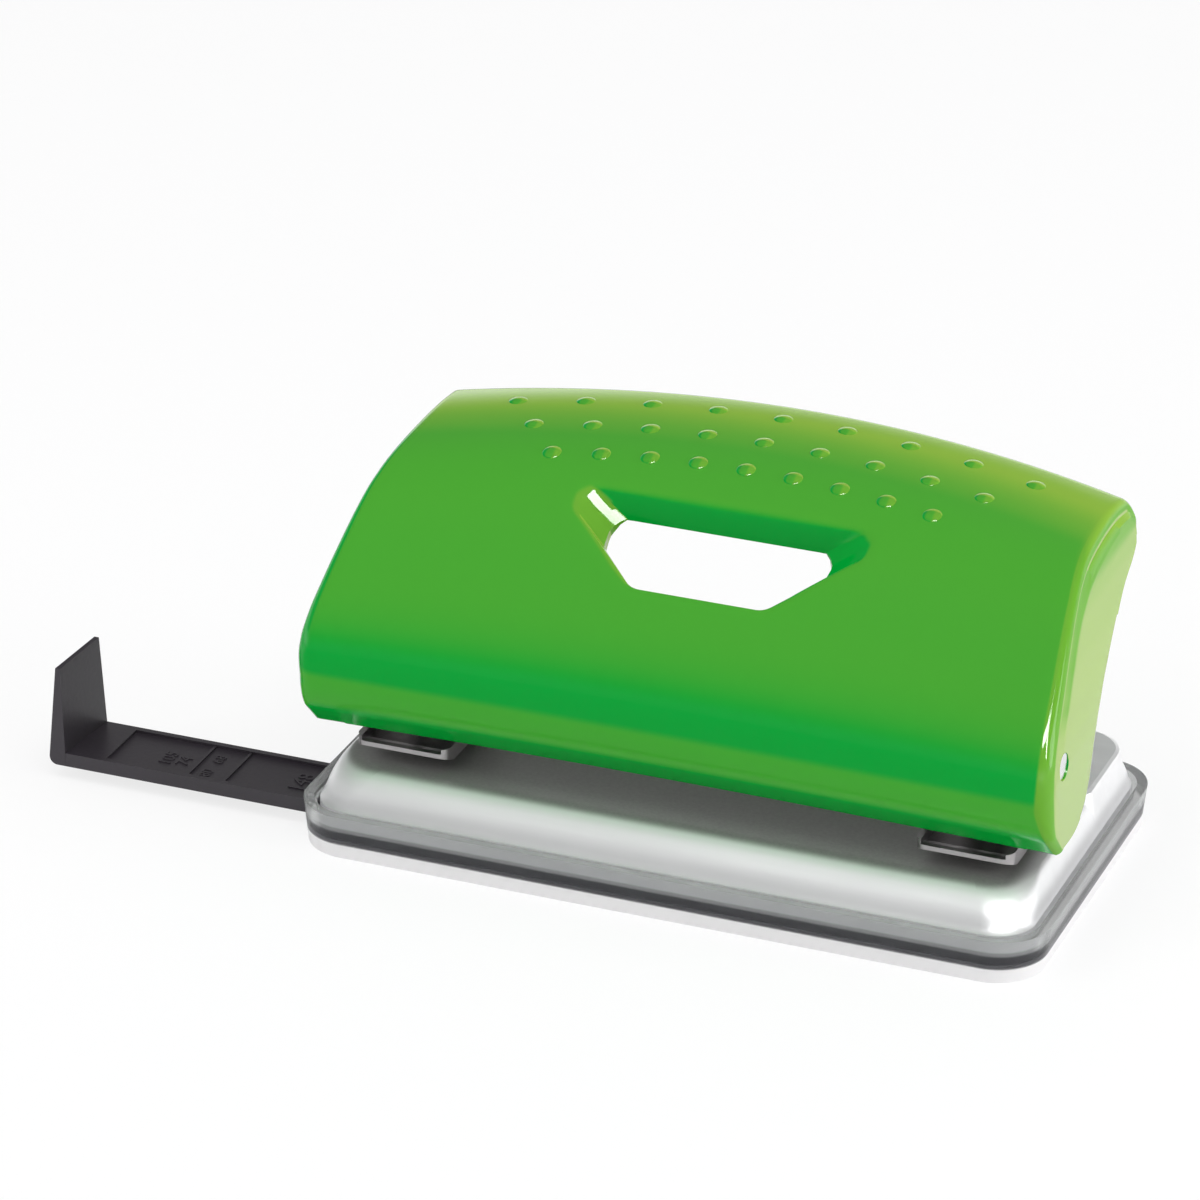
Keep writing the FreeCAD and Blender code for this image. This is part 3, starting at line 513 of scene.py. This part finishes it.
window = {
    "outer": [(9.3, 14.95), (20.9, 23.2), (20.7, 25.2), (19.4, 26.5)],    # half width and back of corners
    "inner": [(9.4, 15.1), (15.5, 20.9), (15.8, 23.9), (14.5, 26.1)],
    "outerRadii": (3.0, 1.8, 0.7, 0.7),
    "innerRadii": (3.0, 1.6, 1.1, 1.1),
    "middle": 21.0,            # the surface round it is laid out in rays from here
    "innerSlope": 23.0,        # degrees that the inner outline rises to the back
    "innerHeight": 40.2,       # where it starts at the front
    "hang": [(15.0, 0.3), (20.0, 2.2), (23.5, 1.4), (26.0, 0.2)],   # back, depth of the upright wall below
    "lip": 1.1,                # width of the rounded edge on the skin, and its depth in the opening
    "lipDepth": 1.0,
    "lipShare": 0.6,           # most of the wall that the rounded edge takes
    "thinShare": 0.25,         # share of the cover's wall that its thin parts keep
    "margin": 5.5,             # width of the skin that is laid out again round the window
    "above": 10.0,             # and how far above the foot that may start
    "rings": 9,
    "lipRings": 6,
    "wallRings": 3,
    "sidePoints": 24,          # of the dense outline, on each side and on each corner
}
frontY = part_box("chip_tray")[0][1] / mm + 0.32     # the tray's bottom edge, inside its flared rim


def spline(points, step):      # smooth curve through points, sampled about every step
    points = np.array(points, float)
    knots = np.concatenate([[0], np.cumsum(np.linalg.norm(np.diff(points[:, :2], axis=0), axis=1))])
    gaps = np.diff(knots)
    count = len(points)
    system = np.zeros((count, count))
    right = np.zeros((count, points.shape[1]))
    for i in range(1, count - 1):
        system[i, i - 1], system[i, i], system[i, i + 1] = gaps[i - 1], 2 * (gaps[i - 1] + gaps[i]), gaps[i]
        right[i] = 6 * ((points[i + 1] - points[i]) / gaps[i] - (points[i] - points[i - 1]) / gaps[i - 1])
    system[0, :3] = 1, -(1 + gaps[0] / gaps[1]), gaps[0] / gaps[1]
    system[-1, -3:] = gaps[-1] / gaps[-2], -(1 + gaps[-1] / gaps[-2]), 1
    bend = np.linalg.solve(system, right)
    samples = np.linspace(0, knots[-1], max(3, int(round(knots[-1] / step)) + 1))
    i = np.clip(np.searchsorted(knots, samples) - 1, 0, count - 2)
    t0, t1, gap = (values[:, None] for values in (samples - knots[i], knots[i + 1] - samples, gaps[i]))
    return (
        bend[i] * t1 ** 3 / (6 * gap) + bend[i + 1] * t0 ** 3 / (6 * gap)
        + (points[i] / gap - bend[i] * gap / 6) * t1 + (points[i + 1] / gap - bend[i + 1] * gap / 6) * t0
    )


def unit(vector):
    return vector / np.linalg.norm(vector)


def curveThrough(first, corner, last, count):      # quadratic curve with a control point at its corner
    shares = np.linspace(0, 1, count)[:, None]
    return (1 - shares) ** 2 * first + 2 * shares * (1 - shares) * corner + shares ** 2 * last


def coverLine():               # the front line with its crease softened, then over the nose
    front = np.array(cover["front"])
    upper = spline(front[1:], cover["rowStep"])
    foot, crease = front[0], front[1]
    down = (foot - crease) / np.linalg.norm((foot - crease)[:2]) * cover["creaseRound"]
    up = (upper[1] - upper[0]) / np.linalg.norm((upper[1] - upper[0])[:2]) * cover["creaseRound"]
    soft = curveThrough(crease + down, crease, crease + up, cover["creaseRows"])
    shares = np.linspace(0, 0.9, cover["footRows"])    # stops a little short of the crease
    lower = [foot + (soft[0] - foot) * share for share in shares]
    nose = spline([front[-2], front[-1]] + list(cover["nose"]), cover["noseStep"])
    start = np.argmin(np.linalg.norm(nose[:, :2] - front[-1][:2], axis=1))
    return np.array(lower + list(soft) + list(upper[2:-1]) + list(nose[start:]))


line = coverLine()


def inwardOf(points):          # unit normals of a line, towards the inside, in the plane of the section
    way = np.gradient(points[:, :2], axis=0)
    way /= np.linalg.norm(way, axis=1)[:, None]
    return np.stack([way[:, 1], -way[:, 0]], 1)


inward = inwardOf(line)


def endHalf(height):
    return np.interp(height, [z for z, half in cover["ends"]], [half for z, half in cover["ends"]])


def bowed(values, x):          # place of a point of the line at x; values are back, height, forward, down
    share = (x / cover["bowAt"]) ** 2
    return np.array([x, frontY + values[0] - values[2] * share, values[1] - values[3] * share])


def endX(values, side):        # where that point's bow meets the leaning end face, found step by step
    x = side * cover["endGuess"]
    for step in range(cover["endSteps"]):
        x = side * endHalf(bowed(values, x)[2])
    return x


def alongLine(points, share):  # place at a share of a line's length
    lengths = np.concatenate([[0], np.cumsum(np.linalg.norm(np.diff(points[:, :2], axis=0), axis=1))])
    want = share * lengths[-1]
    return np.array([np.interp(want, lengths, points[:, column]) for column in range(points.shape[1])])


def rearLine():                # from the foot up to just short of the nose
    points = spline(cover["rear"], cover["rowStep"])[::-1]
    reach = np.linalg.norm(points[:, :2] - points[-1][:2], axis=1)
    return points[reach > cover["leafEnd"]]


rear = rearLine()


def endColumns(row, side):     # from the skin's last column round the end's edge and over the end face
    values = line[row]
    edge = endX(values, side)
    front = bowed(values, edge)
    partner = alongLine(rear, row / (len(line) - 1))
    behind = bowed(partner, endX(partner, side))
    width = np.linalg.norm((behind - front)[1:])
    radius = min(np.interp(front[2], *zip(*cover["endRound"])), cover["endRoundShare"] * width)
    within = np.array([0, *inward[row]])
    columns = []
    for angle in np.linspace(0, math.pi / 2, cover["roundColumns"] + 1):
        x = edge - side * radius * (1 - math.sin(angle))
        columns.append(bowed(values, x) + within * radius * (1 - math.cos(angle)))
    start = columns[-1]
    for share in np.linspace(0, 1, cover["leafColumns"] + 1)[1:]:
        point = start + (behind - start) * share
        point[0] = side * endHalf(point[2])
        columns.append(point)
    return columns


def skinAt(x, distance):       # point of the skin at x and at a distance back, above the grip's lower bend
    share = (x / cover["bowAt"]) ** 2
    first = int(np.argmin(line[:, 0])) + 2
    last = int(np.argmax(line[:, 1]))
    backs = line[first:last, 0] - line[first:last, 2] * share
    heights = line[first:last, 1] - line[first:last, 3] * share
    return np.array([x, frontY + distance, np.interp(distance, backs, heights)])


def skinNormal(x, distance, reach=0.5):
    across = skinAt(x + reach, distance) - skinAt(x - reach, distance)
    along = skinAt(x, distance + reach) - skinAt(x, distance - reach)
    return unit(np.cross(across, along))


def windowOutline(corners, radii):     # dense points of the rounded outline, across and back
    points = [np.array(corner, float) for corner in corners]
    points += [point * (-1, 1) for point in reversed(points)]
    radii = list(radii) + list(reversed(radii))
    count = window["sidePoints"]
    arcs = []
    for index, point in enumerate(points):
        before = unit(points[index - 1] - point)
        after = unit(points[(index + 1) % len(points)] - point)
        half = math.acos(np.clip(before @ after, -1, 1)) / 2
        trim = radii[index] / math.tan(half)
        centre = point + unit(before + after) * radii[index] / math.sin(half)
        first, last = point + before * trim - centre, point + after * trim - centre
        turn = math.pi - 2 * half
        arc = [
            centre + (first * math.sin(turn * (1 - t)) + last * math.sin(turn * t)) / math.sin(turn)
            for t in np.linspace(0, 1, count + 1)
        ]
        arcs.append(arc)
    dense = []
    for index, arc in enumerate(arcs):
        following = arcs[(index + 1) % len(arcs)][0]
        shares = np.linspace(0, 1, count + 1)[:-1]
        dense += arc[:-1] + [arc[-1] + (following - arc[-1]) * t for t in shares]
    shift = len(dense) - count // 2    # so that the outline starts at the middle of its front side
    return np.array(dense[shift:] + dense[:shift])


def turnsOf(points):           # angles of a closed outline's points round the window's middle
    return np.unwrap(np.arctan2(points[:, 1] - window["middle"], points[:, 0]))


def facing(outline, plan):     # places on the outline on rays from the middle to the plan's points
    own = turnsOf(outline)
    count = len(outline)
    turns = np.concatenate([own - 2 * math.pi, own, own + 2 * math.pi])
    return np.interp(turnsOf(plan), turns, np.arange(-count, 2 * count)) % count


def pick(outline, places):     # points of a closed outline at places between its points
    low = np.floor(places).astype(int)
    share = (places - low)[:, None]
    return outline[low] * (1 - share) + outline[(low + 1) % len(outline)] * share


def outwardOf(outline):        # unit normals of a closed outline, away from its middle
    way = np.roll(outline, -1, 0) - np.roll(outline, 1, 0)
    normals = np.stack([way[:, 1], -way[:, 0]], 1)
    return normals / np.linalg.norm(normals, axis=1)[:, None]


def fillWindow(sheet, loop, plan):     # rings from a loop of skin vertices to the window, then down its walls
    outer = windowOutline(window["outer"], window["outerRadii"])
    places = facing(outer, plan)
    rim = pick(outer, places)
    lipPlan = rim + outwardOf(rim) * window["lip"]
    inner = pick(windowOutline(window["inner"], window["innerRadii"]), places)
    rise = math.tan(math.radians(window["innerSlope"]))
    low = window["innerHeight"]
    front = window["inner"][0][1]
    innerRing = [np.array([x, frontY + d, low + (d - front) * rise]) for x, d in inner]
    previous = loop
    for share in np.linspace(0, 1, window["rings"] + 1)[1:]:
        ring = plan + (lipPlan - plan) * share
        current = sheet.addRow([skinAt(x, distance) for x, distance in ring])
        sheet.bridge(previous, current, True)
        previous = current
    lipStart = [skinAt(x, distance) for x, distance in lipPlan]
    corner = [skinAt(x, distance) for x, distance in rim]
    lipEnd = []
    for c, i in zip(corner, innerRing):
        depth = np.linalg.norm(i - c)
        lipEnd.append(c + (i - c) * min(window["lipShare"], window["lipDepth"] / depth))
    curves = [curveThrough(*each, window["lipRings"] + 1) for each in zip(lipStart, corner, lipEnd)]
    rows = [[curve[index] for curve in curves] for index in range(1, window["lipRings"] + 1)]
    for share in np.linspace(0, 1, window["wallRings"] + 1)[1:]:
        rows.append([c + (i - c) * share for c, i in zip(lipEnd, innerRing)])
    backs, falls = zip(*window["hang"])
    for share in (0.5, 1.0):
        rows.append([
            point - np.array([0, 0, share * np.interp(point[1] - frontY, backs, falls)])
            for point in innerRing
        ])
    for row in rows:
        current = sheet.addRow(row)
        sheet.bridge(previous, current, True)
        sheet.thin += current
        previous = current


def skinGrid():                # rows of the skin's points, from the left end's rear edge to the right one's
    rows = []
    shares = np.linspace(-1, 1, cover["columns"] + 1)[1:-1]
    for row, values in enumerate(line):
        left = endColumns(row, -1)
        right = endColumns(row, 1)
        rows.append(left[::-1] + [bowed(values, right[0][0] * share) for share in shares] + right)
    return np.array(rows)


def windowBlock(grid):         # first and last rows and columns of the skin that is laid out again
    half = window["outer"][1][0] + window["margin"]
    firstBack = window["outer"][0][1] - window["margin"]
    lastBack = window["outer"][-1][1] + window["margin"]
    above = line[:, 1] > line[0][1] + window["above"]
    inRow = np.where((line[:, 0] > firstBack) & (line[:, 0] < lastBack) & above)[0]
    across = np.abs(grid[(inRow[0] + inRow[-1]) // 2, :, 0])
    fromMiddle = np.abs(np.arange(len(across)) - len(across) // 2)
    inColumn = np.where((across < half) & (fromMiddle < cover["columns"] // 2))[0]
    return inRow[0], inRow[-1], inColumn[0], inColumn[-1]


def coverSheet():
    sheet = Sheet()
    grid = skinGrid()
    rows, columns = grid.shape[:2]
    row0, row1, column0, column1 = windowBlock(grid)
    endColumnCount = cover["leafColumns"] + cover["roundColumns"]
    thickRows = range(cover["thinRows"][0], rows - cover["thinRows"][1])
    index = {}
    for row in range(rows):
        for column in range(columns):
            if not (row0 < row < row1 and column0 < column < column1):
                index[row, column] = sheet.add(grid[row, column])
                if min(column, columns - 1 - column) < endColumnCount and row not in thickRows:
                    sheet.thin.append(index[row, column])
    for row in range(rows - 1):
        for column in range(columns - 1):
            if not (row0 <= row < row1 and column0 <= column < column1):
                corners = (row, column), (row, column + 1), (row + 1, column + 1), (row + 1, column)
                sheet.faces.append(tuple(index[corner] for corner in corners))
    middle = (column0 + column1) // 2
    around = [(row0, column) for column in range(middle, column1)]
    around += [(row, column1) for row in range(row0, row1)]
    around += [(row1, column) for column in range(column1, column0, -1)]
    around += [(row, column0) for row in range(row1, row0, -1)]
    around += [(row0, column) for column in range(column0, middle)]
    plan = np.array([[grid[key][0], grid[key][1] - frontY] for key in around])
    fillWindow(sheet, [index[key] for key in around], plan)
    return sheet


def roundRim(obj, firstRimFace):       # rounds the free edge's borders where the faces there allow it
    width = cover["rimRound"] * mm
    work = bmesh.new()
    work.from_mesh(obj.data)
    work.faces.ensure_lookup_table()
    rim = set(work.faces[firstRimFace:])
    borders = []
    for edge in work.edges:
        beside = [face for face in edge.link_faces if face not in rim]
        if len(beside) == 1 and len(edge.link_faces) == 2:
            least = cover["rimRoom"] * width * edge.calc_length()
            if all(face.calc_area() > least for face in edge.link_faces):
                borders.append(edge)
    bmesh.ops.bevel(
        work, geom=borders, offset=width, segments=2, profile=0.5, affect="EDGES", clamp_overlap=True,
    )
    work.to_mesh(obj.data)
    work.free()


rodHoles = {
    "back": -19.2,
    "height": 28.6,
    "sides": [(-1, 1.56), (1, 1.86)],      # left or right end, radius
    "reach": (50.5, 55.0),     # distances from the middle between which the cover is cut
    "spokes": 48,
}


def cutRodHoles(obj):          # round holes where the rod comes through the end faces
    y, z = rodHoles["back"], rodHoles["height"]
    angles = fullTurn(rodHoles["spokes"])
    for side, radius in rodHoles["sides"]:
        sheet = Sheet()
        rings = []
        for reach in rodHoles["reach"]:
            rings.append(sheet.addRow([
                (side * reach, y + radius * math.cos(a), z + radius * math.sin(a)) for a in angles
            ]))
        sheet.bridge(rings[0], rings[1], True)
        sheet.faces.append(tuple(rings[0]))
        sheet.faces.append(tuple(rings[1]))
        tool = sheet.object("rodHole")
        faceOutward(tool, (side, 0, 0), (side, 0, 0))
        modify(obj, "BOOLEAN", object=tool, operation="DIFFERENCE", solver="EXACT")
        bpy.data.objects.remove(tool)


def makeCover():
    obj = coverSheet().object("coverShell")
    faceOutward(obj, (0, frontY * mm, 0.03), (0, -1, 0))
    skinFaces = len(obj.data.polygons)
    modify(
        obj, "SOLIDIFY", thickness=cover["wall"] * mm, offset=-1,
        vertex_group="thick", thickness_vertex_group=window["thinShare"],
    )
    for vertex in obj.data.vertices:       # the inner skin may not stick out of the thin end of the nose
        reach = endHalf(vertex.co.z / mm) * mm
        vertex.co.x = min(max(vertex.co.x, -reach), reach)
    roundRim(obj, 2 * skinFaces)
    cutRodHoles(obj)
    settle(obj, "handle", "cover_plastic", degrees=35)
    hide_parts("cover")


makeCover()
print("cover ready")


# Grip domes in three rows on the cover's top

domes = {
    "rows": [   # pitch, back, height, forward and down at bowAt
        (9.32, 47.9, 52.95, 4.6, 1.95), (8.06, 40.3, 52.65, 4.7, 2.4), (6.77, 33.3, 51.5, 5.0, 2.6),
    ],
    "perRow": 9,
    "radius": 1.4,
    "height": 0.37,
    "sunk": 0.1,
    "rings": 10,
    "spokes": 32,
}


def makeDomes():
    sheet = Sheet()
    half = domes["perRow"] // 2
    angles = fullTurn(domes["spokes"])
    for pitch, *values in domes["rows"]:
        for place in range(-half, half + 1):
            x = place * pitch
            distance = bowed(values, x)[1] - frontY
            centre = skinAt(x, distance)
            up = skinNormal(x, distance)
            side = unit(np.cross(up, (0, 1, 0)))
            ahead = np.cross(up, side)
            top = sheet.add(centre + up * domes["height"])
            previous = None
            for share in np.linspace(0, 1, domes["rings"] + 1)[1:]:
                lift = domes["height"] * (1 - share ** 2) - (domes["sunk"] if share == 1 else 0)
                reach = domes["radius"] * share
                ring = sheet.addRow([
                    centre + up * lift + (side * math.cos(a) + ahead * math.sin(a)) * reach for a in angles
                ])
                if previous is None:
                    for first, second in zip(ring, ring[1:] + ring[:1]):
                        sheet.faces.append((top, first, second))
                else:
                    sheet.bridge(previous, ring, True)
                previous = ring
            sheet.faces.append(tuple(previous))
    obj = sheet.object("gripDomes")
    faceOutward(obj, (0, 0.02, 0.06), (0, 0, 1))
    settle(obj, "handle", "cover_plastic", degrees=60)


makeDomes()
print("domes ready")


# Bosses under the cover that take its screws

bosses = {
    "spacing": 52.0,
    "back": 20.0,
    "radius": 3.25,
    "bore": 1.52,
    "foot": 30.05,
    "boreTop": 37.9,
    "sunk": 0.9,               # how far the top reaches short of the outer skin
    "bevel": 0.25,
    "spokes": 48,
}


def bossRing(sheet, x, radius, height=None):       # without a height it ends in the cover's wall
    points = []
    for angle in fullTurn(bosses["spokes"]):
        across = x + radius * math.cos(angle)
        back = bosses["back"] + radius * math.sin(angle)
        z = skinAt(across, back)[2] - bosses["sunk"] if height is None else height
        points.append((across, frontY + back, z))
    return sheet.addRow(points)


def makeBosses():
    sheet = Sheet()
    foot, bore, radius, bevel = (bosses[key] for key in ("foot", "bore", "radius", "bevel"))
    for side in (-1, 1):
        x = side * bosses["spacing"] / 2
        rings = [
            bossRing(sheet, x, bore, bosses["boreTop"]), bossRing(sheet, x, bore, foot + bevel),
            bossRing(sheet, x, bore + bevel, foot), bossRing(sheet, x, radius - bevel, foot),
            bossRing(sheet, x, radius, foot + bevel), bossRing(sheet, x, radius),
        ]
        sheet.faces.append(tuple(rings[0]))
        for low, high in zip(rings, rings[1:]):
            sheet.bridge(low, high, True)
        sheet.faces.append(tuple(rings[-1]))
    obj = sheet.object("coverBosses")
    faceOutward(obj, (bosses["spacing"] / 2 * mm, -0.03, 0.034), (0, -1, 0))
    settle(obj, "handle", "cover_plastic", degrees=35)


makeBosses()
print("bosses ready")


# Raised numbers in the paper guide's recess

guideNumbers = {
    # text, across, back from the tray's front edge, height of its characters
    "texts": [
        ("105", -76.3, 11.8, 1.9), ("74", -73.9, 11.8, 1.9), ("68", -69.6, 14.0, 1.7),
        ("80", -69.6, 9.6, 1.7), ("148", -56.2, 12.0, 2.6),
    ],
    "floor": 3.6,              # height of the recess's floor
    "rise": 0.12,
    "sunk": 0.03,
    "inkHeight": 0.73,         # height of the built-in font's digits at size 1
}


def makeGuideNumbers():
    for text, across, back, height in guideNumbers["texts"]:
        curve = bpy.data.curves.new("guideNumber" + text, "FONT")
        curve.body = text
        curve.align_x = "CENTER"
        curve.align_y = "CENTER"
        curve.size = height / guideNumbers["inkHeight"] * mm
        curve.extrude = (guideNumbers["rise"] + guideNumbers["sunk"]) / 2 * mm
        curve.resolution_u = 4
        drawn = addToScene(bpy.data.objects.new("drawnNumber", curve))
        mesh = bpy.data.meshes.new_from_object(drawn)
        bpy.data.objects.remove(drawn)
        middle = guideNumbers["floor"] + (guideNumbers["rise"] - guideNumbers["sunk"]) / 2
        place = Matrix.Translation((across * mm, (frontY + back) * mm, middle * mm))
        mesh.transform(place @ Matrix.Rotation(math.pi / 2, 4, "Z"))
        obj = addToScene(bpy.data.objects.new("guideNumber" + text, mesh))
        settle(obj, "guide", "guide_plastic", degrees=30)


makeGuideNumbers()
print("guide numbers ready")


# Floor, world and lamps

studio = {
    "floorSize": 6.0,
    "floorColor": (0.93, 0.93, 0.94, 1),
    "floorWhite": 0.78,        # how far the floor is lifted to white for the camera
    "horizon": 1.15,           # brightness of the surroundings low down and overhead
    "zenith": 0.45,
    "horizonMirrored": 1.45,   # the same in reflections
    "zenithMirrored": 0.12,
    "horizonTo": 0.1,          # heights on the unit sphere where they start and end to change
    "zenithFrom": 0.4,
    "lamps": [
        # name, place, aims at, size, power, lights matt surfaces, is mirrored
        ("overheadLamp", (0.1, -0.25, 1.1), (0, 0, 0.03), (0.9, 0.7), 5.6, True, False),
        ("windowLamp", (0.46, -0.515, 1.005), (-0.02, 0, 0.045), (0.62, 0.25), 11.0, False, True),
        ("endLamp", (0.78, -0.48, 0.715), (0.052, -0.022, 0.033), (0.1, 0.4), 5.0, False, True),
        ("rightLamp", (1.1, 0.1, 0.35), (0.03, 0, 0.03), (0.5, 0.6), 6.0, True, True),
        ("leftLamp", (-0.9, -0.7, 0.7), (0, 0, 0.03), (0.5, 0.7), 3.0, True, False),
    ],
}


def rays(g, *kinds):           # 1 for rays of these kinds
    path = [g.add("ShaderNodeLightPath", out="Is " + kind + " Ray") for kind in kinds]
    total = path[0]
    for each in path[1:]:
        total = total + each
    return g.add("ShaderNodeMath", {"operation": "MINIMUM"}, {0: total, 1: 1.0})


def makeFloor():
    size = studio["floorSize"] / 2
    mesh = bpy.data.meshes.new("floor")
    corners = [(-size, -size, 0), (size, -size, 0), (size, size, 0), (-size, size, 0)]
    mesh.from_pydata(corners, [], [(0, 1, 2, 3)])
    obj = addToScene(bpy.data.objects.new("floor", mesh))
    g = newFinish("floorPaint")
    paint = g.add("ShaderNodeBsdfPrincipled", {}, {"Base Color": studio["floorColor"], "Roughness": 0.9})
    white = g.add("ShaderNodeEmission", {}, {"Color": (1, 1, 1, 1), "Strength": 1.0})
    share = rays(g, "Camera", "Transmission") * studio["floorWhite"]
    dress(obj, finishWith(g, g.add("ShaderNodeMixShader", {}, {0: share, 1: paint, 2: white})))


def makeWorld():
    world = bpy.data.worlds.new("studio")
    bpy.context.scene.world = world
    g = Graph(world)
    height = axisOf(g, g.add("ShaderNodeTexCoord", out="Generated"), "Z")
    climb = ramp(g, height, studio["horizonTo"], studio["zenithFrom"])
    mirrored = rays(g, "Glossy")
    low = studio["horizon"] + mirrored * (studio["horizonMirrored"] - studio["horizon"])
    top = studio["zenith"] + mirrored * (studio["zenithMirrored"] - studio["zenith"])
    strength = low + climb * (top - low)
    lit = g.add("ShaderNodeBackground", {}, {"Color": (1, 1, 1, 1), "Strength": strength})
    white = g.add("ShaderNodeBackground", {}, {"Color": (1, 1, 1, 1), "Strength": 1.0})
    share = rays(g, "Camera", "Transmission")
    surface = g.add("ShaderNodeMixShader", {}, {0: share, 1: lit, 2: white})
    g.add("ShaderNodeOutputWorld", {}, {"Surface": surface})


def makeLamp(name, place, target, size, power, lights, mirrored):
    data = bpy.data.lights.new(name, "AREA")
    data.shape = "RECTANGLE"
    data.size, data.size_y = size
    data.energy = power
    obj = addToScene(bpy.data.objects.new(name, data))
    obj.location = place
    obj.rotation_euler = (Vector(target) - Vector(place)).to_track_quat("-Z", "Y").to_euler()
    obj.visible_diffuse = lights
    obj.visible_glossy = mirrored


makeFloor()
makeWorld()
for lamp in studio["lamps"]:
    makeLamp(*lamp)
bpy.context.scene.view_settings.view_transform = "Standard"
print("studio ready")
